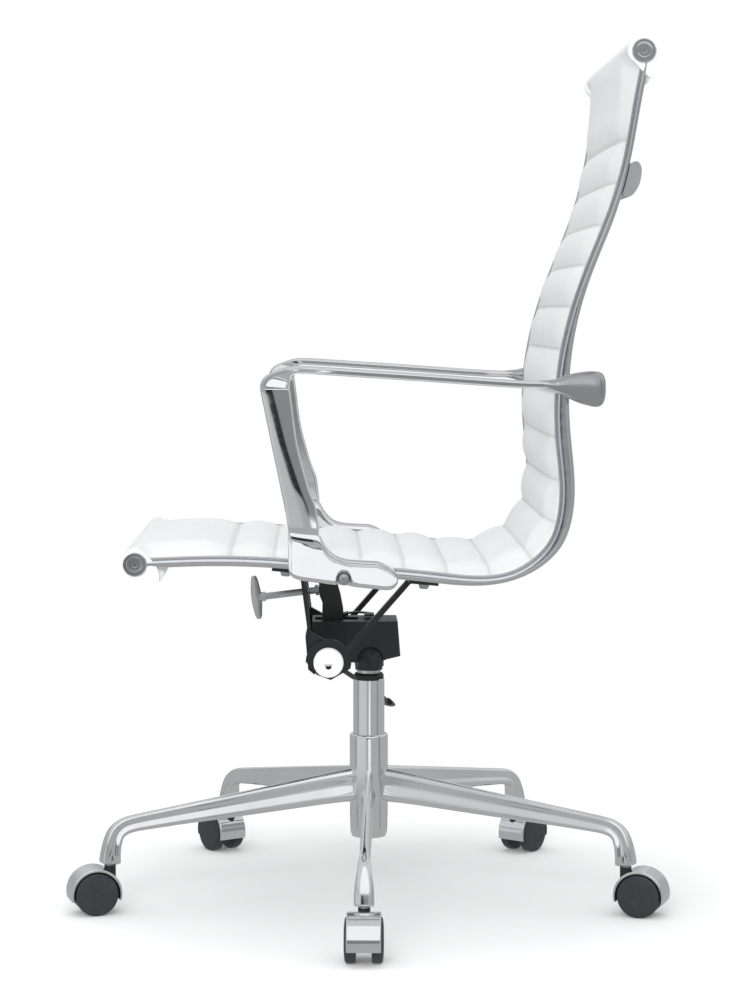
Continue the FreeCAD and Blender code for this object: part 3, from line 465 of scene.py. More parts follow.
def make_studio():
    """Plain white background, a soft room for matt surfaces and a studio for reflections."""
    world = bpy.data.worlds.new("studio")
    bpy.context.scene.world = world
    world.use_nodes = True
    tree = world.node_tree
    tree.nodes.clear()

    def node(kind, **settings):
        made = tree.nodes.new(kind)
        for key, value in settings.items():
            setattr(made, key, value)
        return made

    def math_node(operation, a, b=None, clamp=False):
        made = node("ShaderNodeMath", operation=operation, use_clamp=clamp)
        for socket, value in zip(made.inputs, (a, b)):
            if value is None:
                continue
            if isinstance(value, (int, float)):
                socket.default_value = value
            else:
                tree.links.new(value, socket)
        return made.outputs[0]

    def between(value, low, high):
        made = node("ShaderNodeMapRange", interpolation_type="SMOOTHSTEP")
        made.inputs["From Min"].default_value = low
        made.inputs["From Max"].default_value = high
        tree.links.new(value, made.inputs["Value"])
        return made.outputs["Result"]

    def background(colour, strength=None):
        made = node("ShaderNodeBackground")
        made.inputs["Color"].default_value = (*colour, 1)
        if strength is not None:
            tree.links.new(strength, made.inputs["Strength"])
        return made.outputs[0]

    def chosen(kind, seen, otherwise):
        """One shader for a kind of ray and another for the rest."""
        made = node("ShaderNodeMixShader")
        for socket, value in zip(made.inputs, (rays.outputs[kind], otherwise, seen)):
            tree.links.new(value, socket)
        return made.outputs[0]

    rays = node("ShaderNodeLightPath")
    direction = node("ShaderNodeTexCoord").outputs["Generated"]
    split = node("ShaderNodeSeparateXYZ")
    tree.links.new(direction, split.inputs[0])
    turn = math_node("ARCTAN2", split.outputs["Y"], split.outputs["X"])
    rise = split.outputs["Z"]

    def strip(azimuth, half_width, edge, low, high, depth):
        """Share of a strip standing at an azimuth, between two rises, times its depth."""
        away = math_node("SUBTRACT", turn, math.radians(azimuth))
        away = math_node("ABSOLUTE", math_node("SINE", math_node("MULTIPLY", away, 0.5)))
        inner = math.sin(math.radians(half_width) / 2)
        outer = math.sin(math.radians(half_width + edge) / 2)
        side = math_node("SUBTRACT", 1.0, between(away, inner, outer))
        foot = between(rise, low - FOOT_FADE, low)
        head = math_node("SUBTRACT", 1.0, between(rise, high, high + HEAD_FADE))
        dark = math_node("MULTIPLY", math_node("MULTIPLY", side, foot), head)
        return math_node("MULTIPLY", dark, depth)

    walls = math_node("SUBTRACT", 1.0, between(rise, *WALL_FADE))
    darkness = math_node("ADD", math_node("MULTIPLY", walls, WALL_DARKNESS), CEILING_DARKNESS)
    for values in PATCHES:
        darkness = math_node("MULTIPLY", darkness, math_node("SUBTRACT", 1.0, strip(*values)))
    for values in STRIPS:
        darkness = math_node("MAXIMUM", darkness, strip(*values))
    bright = math_node("MULTIPLY", math_node("SUBTRACT", 1.0, darkness), STUDIO_BRIGHTNESS)
    studio = background((0.97, 0.985, 1.0), bright)
    slope = math_node("MULTIPLY", split.outputs["X"], ROOM_SLOPE)
    room = background((0.985, 0.993, 1.0), math_node("ADD", slope, ROOM_LEVEL))
    lit = chosen("Is Glossy Ray", studio, room)
    output = node("ShaderNodeOutputWorld")
    tree.links.new(chosen("Is Camera Ray", background((1, 1, 1)), lit), output.inputs["Surface"])
    area_light("key", (3.2, -0.5, 1.5), (0, 0, 0.5), (1.5, 1.5), 50)
    area_light("top", (-0.2, -0.2, 3.0), (0, 0, 0), (2.6, 2.6), 25)
    bpy.context.scene.view_settings.view_transform = "Standard"


FLOOR_RADIUS = 0.80
FLOOR_GLOW = (0.07, 0.30)       # painted light: glow of the paper under the chair and at its rim; the weaker glow under the chair deepens the shadow there as painted shade
# Painted reflection: metals see the floor as this grey glow instead of the lit paper.
FLOOR_REFLECTION_GLOW = 0.45


def make_floor():
    """Round sheet of pale paper that glows as painted light: less under the chair, as painted shade, more
    at its rim, where it fades into the white room.
    """
    ring = [(FLOOR_RADIUS * c, FLOOR_RADIUS * n, 0) for c, n in circle(96)]
    floor = mesh_object("floor", ring, [range(len(ring))])
    s = Shader("floor_paper_glow", (0.93, 0.93, 0.93), 0.9)
    s.shader.inputs["Emission Color"].default_value = (1, 1, 1, 1)
    away = s.node("ShaderNodeVectorMath", operation="LENGTH")
    s.link(s.place, away.inputs[0])
    # Painted light and shade: the paper's glow grows from under the chair out to its rim.
    glow = s.ramp(away.outputs["Value"], 0.30, 0.72, *FLOOR_GLOW)
    s.link(glow, s.shader.inputs["Emission Strength"])
    tone = s.mixed(s.noise(3, 2), (0.94, 0.94, 0.94), (0.92, 0.92, 0.92))
    material = s.finish(tone)
    # Painted reflection: glossy rays see a grey glow in place of the floor.
    grey = s.node("ShaderNodeEmission")
    grey.inputs["Strength"].default_value = FLOOR_REFLECTION_GLOW
    mix = s.node("ShaderNodeMixShader")
    s.link(s.node("ShaderNodeLightPath").outputs["Is Glossy Ray"], mix.inputs[0])
    s.link(s.shader.outputs[0], mix.inputs[1])
    s.link(grey.outputs[0], mix.inputs[2])
    output = next(n for n in s.tree.nodes if n.type == "OUTPUT_MATERIAL")
    s.link(mix.outputs[0], output.inputs["Surface"])
    floor.data.materials.append(material)


# ---------------------------------------------------------------- side rails
def rail_section(depth):
    """Outline of a rail as (distance in from its outer face, height above its outer edge)."""
    lip = depth + 0.0022
    groove = depth - 0.0006
    return [
        (0.0088, 0.0000), (0.0055, -0.0001), (0.0026, 0.0003), (0.0009, 0.0014),
        (0.0001, 0.0034), (0.0000, depth * 0.5), (0.0004, groove - 0.0020),
        (0.0012, groove - 0.0006), (0.0030, groove), (0.0032, groove + 0.0007),
        (0.0018, groove + 0.0010), (0.0013, lip - 0.0008), (0.0020, lip), (0.0050, lip),
        (0.0088, lip - 0.0001), (0.0104, lip - 0.0010), (0.0107, depth * 0.55),
        (0.0106, 0.0014),
    ]


def make_rail(side):
    """Swept rail with a rounded outer face and the groove that grips the leather."""
    rings = []
    steps = 150
    reach = 0.010
    for i in range(steps + 1):
        place = -reach + (SIDE.length + 2 * reach) * i / steps
        point, normal, depth, _ = side_frame(place)
        rings.append([(side * (RAIL_OUTER_X - a), *(point + normal * b))
                      for a, b in rail_section(depth)])
    name = "left" if side > 0 else "right"
    rail = swept("side_rail_" + name, rings, RAIL_METAL)
    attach(rail, "seat")
    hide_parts("rail_" + name)


# ---------------------------------------------------------------- arms
ARM_X = 0.264                   # centre plane of an arm
FOOT_INNER_X = 0.2363           # the foot's back lies on the rail
# Bar and corner of an arm, rear to front: lower (y, z), upper (y, z), half width across
# the chair and how far the web stands out from the centre plane; millimetres.
BAR_RINGS = [
    ((204.0, 612.6), (204.0, 621.8), 13.0, 13.0), ((190.0, 612.9), (190.0, 621.7), 14.0, 14.0),
    ((162.0, 613.4), (162.0, 622.1), 14.8, 14.8), ((115.0, 616.4), (115.0, 625.2), 15.4, 15.4),
    ((50.0, 621.1), (50.0, 629.9), 16.0, 16.0), ((-20.0, 625.7), (-20.0, 634.5), 16.0, 16.0),
    ((-65.0, 628.7), (-65.0, 637.5), 16.0, 15.6), ((-79.0, 629.4), (-80.5, 638.1), 16.0, 13.0),
    ((-85.0, 628.6), (-91.4, 637.0), 15.8, 9.0), ((-88.2, 626.4), (-103.0, 633.3), 15.2, 5.6),
    ((-89.6, 623.4), (-110.5, 630.4), 14.4, 4.0), ((-90.2, 620.4), (-116.2, 627.4), 13.2, 3.6),
    ((-90.3, 617.2), (-120.6, 622.6), 11.6, 4.4), ((-90.3, 614.0), (-122.9, 615.6), 9.4, 6.0),
    ((-90.2, 608.0), (-121.4, 607.6), 7.0, 6.0),
]
# Blade of an arm, top to bottom: height, front and rear edge, half thickness, and where
# its ridge lies between the two edges; millimetres.
BLADE_RINGS = [
    (615.6, -118.6, -93.6, 3.0, 0.30), (613.6, -122.2, -90.6, 7.6, 0.30),
    (612.6, -122.7, -90.1, 8.3, 0.30), (609.0, -122.2, -89.7, 8.4, 0.31),
    (590.0, -118.3, -87.3, 8.0, 0.36), (572.6, -114.8, -85.2, 7.6, 0.41),
    (550.0, -110.2, -81.8, 7.3, 0.47), (525.0, -104.9, -75.3, 7.1, 0.54),
    (503.0, -100.5, -69.0, 7.1, 0.60), (485.0, -97.0, -62.0, 6.9, 0.65),
    (468.0, -94.4, -59.8, 6.4, 0.69), (459.0, -93.1, -58.8, 5.8, 0.71),
    (455.0, -92.4, -58.6, 3.6, 0.72), (440.0, -91.6, -60.0, 1.5, 0.72),
]
# Foot of an arm, front to rear: y, underside, top and fullness; millimetres.
FOOT_RINGS = [
    (-92.9, 426.0, 456.0, 0.86), (-92.3, 416.5, 458.6, 0.96), (-90.2, 411.0, 459.0, 1.0),
    (-86.0, 407.4, 458.6, 1.0), (-78.0, 405.0, 457.6, 1.0), (-68.0, 403.6, 456.4, 1.0),
    (-61.0, 402.7, 455.0, 1.0), (-57.0, 402.1, 451.0, 1.0), (-53.0, 401.6, 443.4, 1.0),
    (-48.0, 401.0, 436.6, 1.0), (-43.0, 400.4, 432.0, 1.0), (-40.6, 400.1, 430.4, 1.0),
    (-39.4, 400.0, 429.8, 1.0), (-36.0, 399.7, 428.4, 1.0), (-32.3, 399.2, 427.2, 1.0),
    (-28.6, 398.9, 426.4, 1.0), (-25.2, 398.5, 426.0, 1.0), (-24.0, 398.4, 425.8, 1.0),
    (-10.0, 397.0, 424.9, 1.0), (4.0, 395.4, 424.4, 1.0), (13.0, 394.4, 421.6, 1.0),
    (19.0, 394.9, 418.2, 1.0), (23.4, 397.4, 415.0, 0.98), (26.0, 400.9, 411.4, 0.95),
    (26.8, 403.6, 408.6, 0.86),
]
FOOT_BOLT = (-32.3, 406.9)      # bolt in an arched pocket that opens downwards; y, z
POCKET_RADIUS = 7.9
POCKET_FLOOR = 4.0
# Flared end behind the back rail: y, middle height, half width, half height and the middle's
# distance from the centre plane; millimetres.
FLARE_RINGS = [
    (174.0, 617.6, 12.0, 3.9, 264.0), (184.0, 617.4, 14.6, 4.9, 264.0),
    (193.0, 616.6, 14.8, 6.4, 263.9), (199.0, 616.0, 14.6, 8.2, 263.4),
    (206.0, 615.9, 14.6, 10.4, 262.4), (215.0, 615.0, 14.6, 14.2, 260.6), (224.0, 613.9, 14.8, 16.9, 258.8),
    (233.0, 613.2, 15.0, 18.6, 257.0), (241.0, 612.3, 15.2, 19.5, 255.6),
    (246.5, 612.3, 14.4, 18.7, 254.6), (250.5, 612.8, 11.6, 15.2, 254.0),
    (252.6, 613.4, 6.0, 8.0, 254.0),
]
BAND = [0.0, 0.3, 0.9, 1.9, 2.9, 3.7, 4.5, 5.3, 6.2]   # samples across the strap, in mm
STRAP_EDGE = 2.2                # how far the rounding of the strap's edges reaches, mm
STRAP_EDGE_HALF = 2.6           # half width left at the very edge, mm
STRAP_EDGE_POWER = 2.6          # fullness of that rounding
WEB_STEP = (2.8, 6.2)           # where the strap's face falls back to the web, mm


def denser(rows, steps):
    """Rows of numbers with smooth rows added between them."""
    flat = [[v for item in row for v in (item if isinstance(item, tuple) else (item,))]
            for row in rows]
    table = np.array(flat, float)
    out = []
    last = len(table) - 1
    for i in range(last):
        before, after = table[max(i - 1, 0)], table[min(i + 2, last)]
        for k in range(steps):
            t = k / steps
            a, b = table[i], table[i + 1]
            slope_a = (b - before) / (2 if i > 0 else 1)
            slope_b = (after - a) / (2 if i + 2 <= last else 1)
            gap_b, gap_a = b - a, a - before
            gap_c = after - b
            slope_a = np.where(gap_a * gap_b > 0, slope_a, 0) if i > 0 else gap_b
            slope_b = np.where(gap_b * gap_c > 0, slope_b, 0) if i + 2 <= last else gap_b
            limit = 1.6 * np.abs(gap_b)
            slope_a = np.clip(slope_a, -limit, limit)
            slope_b = np.clip(slope_b, -limit, limit)
            h1, h2 = (2 * t**3 - 3 * t**2 + 1), (t**3 - 2 * t**2 + t)
            h3, h4 = (-2 * t**3 + 3 * t**2), (t**3 - t**2)
            out.append(h1 * a + h2 * slope_a + h3 * b + h4 * slope_b)
    out.append(table[last])
    return out


def strap_share(distance):
    """0 on an edge of the strap, 1 where its rounding ends."""
    if distance >= STRAP_EDGE:
        return 1.0
    return max(1 - abs(1 - distance / STRAP_EDGE) ** STRAP_EDGE_POWER, 0.0)


def bar_ring(low_y, low_z, high_y, high_z, half, web):
    """Section of the strap; the web lies back behind the strap's outer edge."""
    thick = math.hypot(high_y - low_y, high_z - low_z)
    places = BAND + [BAND[-1] + (thick - BAND[-1]) * k / 7 for k in range(1, 8)]
    near, far = [], []
    for place in places:
        t = min(place / thick, 1.0)
        full = min(strap_share(place), strap_share(thick - place))
        level = half + (web - half) * smooth_step(*WEB_STEP, place)
        y, z = high_y + (low_y - high_y) * t, high_z + (low_z - high_z) * t
        near.append((STRAP_EDGE_HALF + (level - STRAP_EDGE_HALF) * full, y, z))
        far.append((-STRAP_EDGE_HALF - (half - STRAP_EDGE_HALF) * full, y, z))
    return near + far[::-1]


FACET_SLOPE = 0.15              # lean of the blade's front facet
REAR_FALL = 0.06                # slope of the rear facet, as a share of the front one's
BLADE_LEAN = 0.02               # the outer face leans inwards towards the top
LEAN_SPAN = (470.0, 600.0)      # heights between which it leans, mm
LEAN_MIDDLE = 535.0
BLADE_EDGE = 1.6                # how far the rounding of the blade's edges reaches, mm
BLADE_EDGE_DROP = 2.4
BLADE_BACK = 5.8                # the inner face's distance from the centre plane, mm
RIDGE_BLEND = 0.22              # half width of the rounded ridge, as a share of the blade


def blade_rise(u, ridge):
    """Height of the outer face at a share of the width, against its lowest front edge."""
    if u <= ridge - RIDGE_BLEND:
        return u
    if u >= ridge + RIDGE_BLEND:
        return ridge - REAR_FALL * (u - ridge - RIDGE_BLEND)
    t = (u - ridge + RIDGE_BLEND) / (2 * RIDGE_BLEND)
    return ridge - RIDGE_BLEND + 2 * RIDGE_BLEND * (t - t**3 + t**4 / 2)


def blade_ring(z, front, rear, half, ridge):
    """Section of the blade: a front facet, a rounded ridge and a nearly flat rear facet."""
    steps = 20
    width = rear - front
    lean = BLADE_LEAN * (min(max(z, LEAN_SPAN[0]), LEAN_SPAN[1]) - LEAN_MIDDLE)
    outer, inner = [], []
    for k in range(steps + 1):
        u = 0.55 * (0.5 - 0.5 * math.cos(math.pi * k / steps)) + 0.45 * k / steps
        edge = min(u, 1 - u) * width
        full = 1 - max(1 - edge / BLADE_EDGE, 0.0) ** 2
        level = half + FACET_SLOPE * width * (blade_rise(u, ridge) - ridge) - lean
        outer.append((level - BLADE_EDGE_DROP * (1 - full), front + width * u, z))
        inner.append((-BLADE_BACK * (0.45 + 0.55 * full), front + width * u, z))
    return outer + inner[::-1]


FOOT_OUT = 13.2                 # how far the foot's face stands out at its lower edge, mm
FOOT_HEM = 6.5                  # height of the rounded lower edge, mm
FOOT_GROOVE = 3.0               # height of the groove under the facet, mm
FACE_LEAN = 0.26                # lean of the foot's face
POCKET_BRIM = 1.2               # height of the rounding over the bolt's pocket, mm


def foot_ring(y, low, high, full):
    """Section of the foot across the chair: facet, groove, sloping face and underside."""
    tall = high - low
    inner = FOOT_INNER_X / MM - ARM_X / MM
    facet = 1.6 + 0.36 * max(tall - 29.0, 0.0)
    start = high - facet
    reach = start - FOOT_GROOVE - (low + FOOT_HEM)
    lip = 2.6 + 2.4 * smooth_step(-92.0, -62.0, y)
    bottom = lip + 0.16 * facet
    upper = [(inner, high - 1.2), (inner + 1.0, high - 0.2), (-6.0, high), (lip - 1.6, high),
             (lip - 0.3, high - 0.4), (lip, high - 1.0), (bottom, start),
             (bottom - 0.9, start - 0.8), (bottom - 0.8, start - 1.8)]
    brow = FOOT_OUT - FACE_LEAN * reach
    under = start - FOOT_GROOVE
    spare = 13.0 - brow
    face = [(brow, under), (brow + 0.36 * spare, under - 0.38 * reach),
            (brow + 0.70 * spare, under - 0.72 * reach), (FOOT_OUT, low + FOOT_HEM),
            (FOOT_OUT + 0.6, low + 4.2), (FOOT_OUT, low + 2.4), (11.0, low + 0.7), (6.0, low)]
    lower = [(-12.0, low + 0.3), (inner + 1.0, low + 0.6), (inner, low + 1.8)]
    away = abs(y - FOOT_BOLT[0])
    if away < POCKET_RADIUS:
        arch = FOOT_BOLT[1] + math.sqrt(POCKET_RADIUS**2 - away**2)
        brim = arch + POCKET_BRIM
        edge = FOOT_OUT - FACE_LEAN * (brim - low - FOOT_HEM)
        face = [(brow, under), (0.5 * (brow + edge), 0.5 * (under + brim)),
                (edge, brim), (edge - 0.6, arch + 0.2), (POCKET_FLOOR + 0.4, arch - 0.2),
                (POCKET_FLOOR, 0.6 * arch + 0.4 * low), (POCKET_FLOOR, 0.2 * arch + 0.8 * low),
                (POCKET_FLOOR - 0.8, low)]
    profile = upper + face + lower
    return [(inner + (x - inner) * full, y, z) for x, z in profile]


def flare_ring(y, z, half_x, half_z, middle):
    """Section of the flared end, between an ellipse and a rectangle."""
    power = 2.5
    ring = []
    for c, n in circle(28):
        size = (abs(c) ** power + abs(n) ** power) ** (-1 / power)
        ring.append((middle - ARM_X / MM + half_x * c * size, y, z + half_z * n * size))
    return ring


def placed(rings, side):
    """Rings in mm about the arm's centre plane, as points in the frame."""
    return [[(side * (ARM_X + x * MM), y * MM, z * MM) for x, y, z in ring] for ring in rings]


def make_arms():
    """Loop arms: a strap along the top, a blade down the front and a foot on the rail."""
    metal = MATERIALS["polished_aluminium"]
    for side, word in ((1, "left"), (-1, "right")):
        bar = swept("arm_bar_" + word, placed([bar_ring(*r) for r in denser(BAR_RINGS, 3)], side),
                    metal)
        blade = swept("arm_blade_" + word,
                      placed([blade_ring(*r) for r in denser(BLADE_RINGS, 3)], side), metal)
        foot = swept("arm_foot_" + word,
                     placed([foot_ring(*r) for r in denser(FOOT_RINGS, 2)], side), metal)
        for piece in (bar, blade, foot):
            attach(piece, "seat")
        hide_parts("arm_" + word)


# Leg sections: radius, height, heading below the horizontal in degrees, half height, half
# width of the upper lobe, of the waist and of the lower lobe; millimetres.
LEG_RINGS = [
    (12.0, 135.0, 7.0, 20.6, 6.6, 5.8, 9.6), (32.0, 133.0, 7.0, 19.4, 5.4, 5.2, 8.6),
    (60.0, 130.0, 7.0, 18.0, 4.6, 4.6, 7.6),
    (134.0, 121.2, 7.0, 15.5, 4.2, 4.0, 6.8), (231.0, 109.8, 7.5, 11.8, 4.6, 3.8, 6.3),
    (270.0, 105.0, 8.4, 10.6, 5.0, 4.0, 6.2), (288.0, 102.4, 14.0, 10.2, 5.6, 4.4, 6.4),
    (298.5, 99.0, 29.0, 10.2, 6.4, 5.0, 6.8),
    (306.4, 92.8, 52.0, 10.4, 8.0, 7.0, 8.0), (311.0, 82.6, 74.0, 10.8, 9.8, 9.2, 9.8),
    (313.6, 70.0, 83.0, 11.6, 11.0, 11.2, 11.0), (314.6, 57.0, 86.0, 12.7, 11.2, 12.7, 11.2),
]
LEG_COUNT = 5
FIRST_LEG = -2.0                # direction of the first leg, degrees from +X
# Section of the hub as a closed outline: radius and height; millimetres.
HUB_PROFILE = [
    (18.7, 195.3), (20.8, 195.4), (21.9, 194.9), (22.6, 193.8), (22.75, 192.0), (22.75, 190.8),
    (22.75, 150.0), (22.7, 102.0), (22.2, 84.0), (21.9, 78.0), (21.5, 75.6), (20.4, 74.2),
    (20.2, 72.2), (16.8, 72.2), (16.8, 77.9), (18.7, 77.9),
]


def leg_ring(radius, height, heading, half_height, upper, waist, lower):
    """Section across a leg: round upper lobe, hollow flank and wider lower lobe."""
    right = [(1.0, 0.0), (0.92, 0.66 * upper), (0.66, upper), (0.36, 0.72 * upper + 0.2 * waist),
             (0.06, waist * 0.86), (-0.3, 0.84 * lower), (-0.62, lower), (-0.9, 0.66 * lower),
             (-1.0, 0.0)]
    outline = right + [(a, -b) for a, b in right[-2:0:-1]]
    slope = math.radians(heading)
    count = len(outline)
    ring = []
    for i in range(count):
        p = [np.array(outline[(i + k) % count]) for k in (-1, 0, 1, 2)]
        for t in (0.0, 0.5):
            a, b = 0.5 * ((2 * p[1]) + (p[2] - p[0]) * t
                          + (2 * p[0] - 5 * p[1] + 4 * p[2] - p[3]) * t * t
                          + (3 * p[1] - p[0] - 3 * p[2] + p[3]) * t**3)
            ring.append((radius + a * half_height * math.sin(slope), b,
                         height + a * half_height * math.cos(slope)))
    return ring


def make_hub():
    """Turned sleeve round the column, with crisp edges."""
    rings = [[(r * MM * c, r * MM * n, z * MM) for r, z in HUB_PROFILE] for c, n in circle(96)]
    points = [p for ring in rings for p in ring]
    faces = [[v % len(points) for v in face] for face in tube_grid(rings + rings[:1])]
    hub = outward(mesh_object("base_hub", points, faces, LEG_METAL))
    edges = hub.modifiers.new("edges", "EDGE_SPLIT")
    edges.split_angle = math.radians(40)
    return applied(hub)


def make_base():
    """Hub and five legs of the cast base."""
    pieces = [make_hub()]
    sections = [leg_ring(*r) for r in denser(LEG_RINGS, 4)]
    for i in range(LEG_COUNT):
        turn = math.radians(FIRST_LEG + 360 / LEG_COUNT * i)
        c, n = math.cos(turn), math.sin(turn)
        rings = [[((x * c - y * n) * MM, (x * n + y * c) * MM, z * MM) for x, y, z in ring]
                 for ring in sections]
        pieces.append(swept("base_leg_%d" % (i + 1), rings, LEG_METAL))
    for piece in pieces:
        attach(piece, "base")
    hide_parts("star_base")


SPREADER_HALF = 0.248
SPREADER_PLACE = (0.2302, 0.612)    # y, z
SPREADER_FLARE = (0.17, 0.24)       # where it grows towards its ends
SPREADER_SIZE = (0.0080, 0.0130)    # half depth and half height in the middle
SPREADER_GROWTH = (0.0046, 0.0035)


def make_spreader():
    """Bar behind the back with the flared ends that take the arms."""
    steps = 48
    middle_y, middle_z = SPREADER_PLACE
    rings = []
    for i in range(steps + 1):
        x = -SPREADER_HALF + 2 * SPREADER_HALF * i / steps
        end = smooth_step(*SPREADER_FLARE, abs(x))
        deep, tall = (size + grow * end for size, grow in zip(SPREADER_SIZE, SPREADER_GROWTH))
        y = middle_y + 0.0052 * end
        rings.append([(x, y + deep * c, middle_z + tall * n) for c, n in circle(20)])
    bar = swept("spreader_bar", rings, SPREADER_METAL)
    pieces = [bar]
    for side, word in ((1, "left"), (-1, "right")):
        pieces.append(swept("arm_flare_" + word,
                            placed([flare_ring(*r) for r in denser(FLARE_RINGS, 2)], side),
                            SPREADER_METAL))
    for piece in pieces:
        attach(piece, "seat")
    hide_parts("back_spreader")


SLOT_HALF = (0.0036, 0.0030)    # half width and half height of the slot's oval
SLOT_DROP = 0.0046              # below the cover's middle
SLOT_TOP = 0.0012               # the oval is cut off here


def make_cap_hole_shades():
    """Half-round black piece on each axle cover, painted shade put where the hole's shade falls; the cover
    itself is not cut.
    """
    y, z = CAP_CENTRE
    for side, word in ((1, "left"), (-1, "right")):
        rings = []
        for depth, grow in ((-0.0012, 1.0), (0.0001, 1.0), (0.0004, 0.8)):
            ring = []
            for c, n in circle(16):
                a, b = SLOT_HALF[0] * c * grow, min(SLOT_HALF[1] * n * grow, SLOT_TOP)
                ring.append((side * (CAP_FACE_X + depth), y + a, z - SLOT_DROP + b))
            rings.append(ring)
        # Painted shade: a black piece stands in for the shaded hole.
        slot = swept("cap_hole_shade_" + word, rings, MATERIALS["black_plastic"])
        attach(slot, "lift")


# ---------------------------------------------------------------- leather sling
CHANNEL_ROWS = 8                # rows of the blank in each sewn channel
PANEL_ROWS = 14                 # rows in the plain panels before and behind the channels
COLUMNS = 60
PINNED_FROM = 0.97              # share of a seam's depth from which its leather is held
SEAM_SHADE_SPAN = (0.90, 1.0)          # shares of a seam's pull between which the painted shade along the seam sets in


def crown_share(x):
    """1 on the crown, falling to 0 where the leather tucks in beside the rail."""
    t = (abs(x) - CROWN_HALF) / (SLING_HALF - CROWN_HALF)
    soft = 0.10
    ramp = (math.sqrt(t * t + soft * soft) + t) / (math.sqrt(1 + soft * soft) + 1)
    edge = smooth_step(0.93, 1.0, t) * 0.10
    return max(0.0, 1.0 - ramp) * (1 - edge)


def half_height_length():
    """Stations of the rail edge against arc length half way up the cushion."""
    places = np.linspace(0, SIDE.length, 1201)
    line = []
    for place in places:
        point, normal, _, crown = side_frame(place)
        line.append(point + normal * crown * 0.5)
    steps = np.hypot(*np.diff(np.array(line), axis=0).T)
    return places, np.concatenate([[0.0], np.cumsum(steps)])


def seam_stations():
    places, lengths = half_height_length()
    wanted = [FIRST_SEAM + SEAM_PITCH * i for i in range(SEAM_COUNT)]
    return list(np.interp(wanted, lengths, places))


SEAMS = seam_stations()


def sling_stations():
    """Places of the sling's rows between the rolls; inside a channel they crowd at its seams."""
    rows = [SEAMS[0] * i / PANEL_ROWS for i in range(PANEL_ROWS)]
    for a, b in zip(SEAMS, SEAMS[1:]):
        for i in range(CHANNEL_ROWS):
            turn = math.cos(math.pi * i / CHANNEL_ROWS)
            rows.append(a + (b - a) * (0.5 - 0.5 * turn * (0.62 + 0.38 * abs(turn))))
    for i in range(PANEL_ROWS + 1):
        rows.append(SEAMS[-1] + (SIDE.length - SEAMS[-1]) * (i / PANEL_ROWS))
    return rows


def notch(station):
    """0 in the middle of a channel, 1 on its seams, along the sling."""
    beyond = max(SEAMS[0] - station, station - SEAMS[-1])
    if beyond >= 0:
        return (1 - min(beyond / (SEAM_PITCH / 2), 1.0)) ** 2.4
    i = max(k for k in range(SEAM_COUNT - 1) if SEAMS[k] <= station + 1e-9)
    t = abs(2 * (station - SEAMS[i]) / (SEAMS[i + 1] - SEAMS[i]) - 1)
    return t ** 2.3


def seam_reach(x):
    """How deep the seams pull across the chair; they fade out at the rails."""
    t = abs(x) / SLING_HALF
    return 1.0 - 0.25 * smooth_step(0.70, 0.82, t) - 0.60 * smooth_step(0.86, 1.0, t)


def on_roll(angles):
    """Points of the leather round a cross tube, from the tube's middle; angles in degrees."""
    return [(ROLL_RADIUS * math.cos(math.radians(a)), ROLL_RADIUS * math.sin(math.radians(a)))
            for a in angles]


def front_tail():
    """Wrap round the front tube, from the crown over the roll to the stitched lap below."""
    lap = [(0.0105, -0.0158), (0.0173, -0.0140), (0.0217, -0.0157), (0.0250, -0.0200),
           (0.0263, -0.0208), (0.0277, -0.0195), (0.0305, -0.0145), (0.0335, -0.0080)]
    return [(FRONT_TUBE[0] + a, FRONT_TUBE[1] + b) for a, b in on_roll(range(84, 291, 16)) + lap]


def top_tail():
    """Wrap over the top tube, from the head panel to the stitched lap behind."""
    lap = [(0.0128, -0.0125), (0.0102, -0.0165), (0.0088, -0.0200), (0.0085, -0.0238),
           (0.0095, -0.0275), (0.0088, -0.0305), (0.0063, -0.0333), (0.0035, -0.0358)]
    return [(TOP_TUBE[0] + a, TOP_TUBE[1] + b) for a, b in on_roll(range(178, -27, -16)) + lap]


def column_places():
    """Even spacing on the crown, closer where it turns down to the rails."""
    places = []
    for i in range(COLUMNS + 1):
        t = 2 * i / COLUMNS - 1
        places.append(SLING_HALF * math.copysign(abs(t) ** 0.93, t))
    return places


def sling_blank():
    """Closed sling as one loop of points for each place across the chair.

    Also says which points are held by a seam, tube or rail, and how much painted shade darkens the seam
    there.
    """
    stations = sling_stations()
    loops, pins, seams = [], [], []
    for x in column_places():
        share = crown_share(x)
        reach = seam_reach(x)
        crown_rise = 0.0012 * (1 - (x / CROWN_HALF) ** 2) if abs(x) < CROWN_HALF else 0.0
        at_rail = abs(x) > SLING_HALF - 0.004
        rows = []
        for station in stations:
            point, normal, depth, crown = side_frame(station)
            edge = depth + TUCK_ABOVE_RAIL
            height = edge + (crown - edge) * share + crown_rise
            pull = notch(station)
            rows.append((point + normal * (height - SEAM_DEPTH * reach * pull), pull))
        rows += [(point, None) for point in top_tail()]
        for station in reversed(stations):
            point, normal, _, _ = side_frame(station)
            pull = notch(station)
            belly = BACK_SEAM_DEPTH * (1 - pull) * reach
            rows.append((point + normal * (BACK_ABOVE_RAIL + BACK_SEAM_DEPTH - belly), pull))
        rows += [(point, None) for point in reversed(front_tail())]
        loops.append([(x, p[0], p[1]) for p, _ in rows])
        pins += [at_rail or pull is None or pull > PINNED_FROM for _, pull in rows]
        # Share of painted seam shade at each point.
        seams += [0.0 if pull is None else smooth_step(*SEAM_SHADE_SPAN, pull) for _, pull in rows]
    return loops, pins, seams, len(stations)


PUFF_CAP = 0.0024               # furthest that the cloth run may move the leather
PUFF_EVENING = 70               # rounds of averaging across the chair, which take out puckers
CLOTH_FRAMES = 20


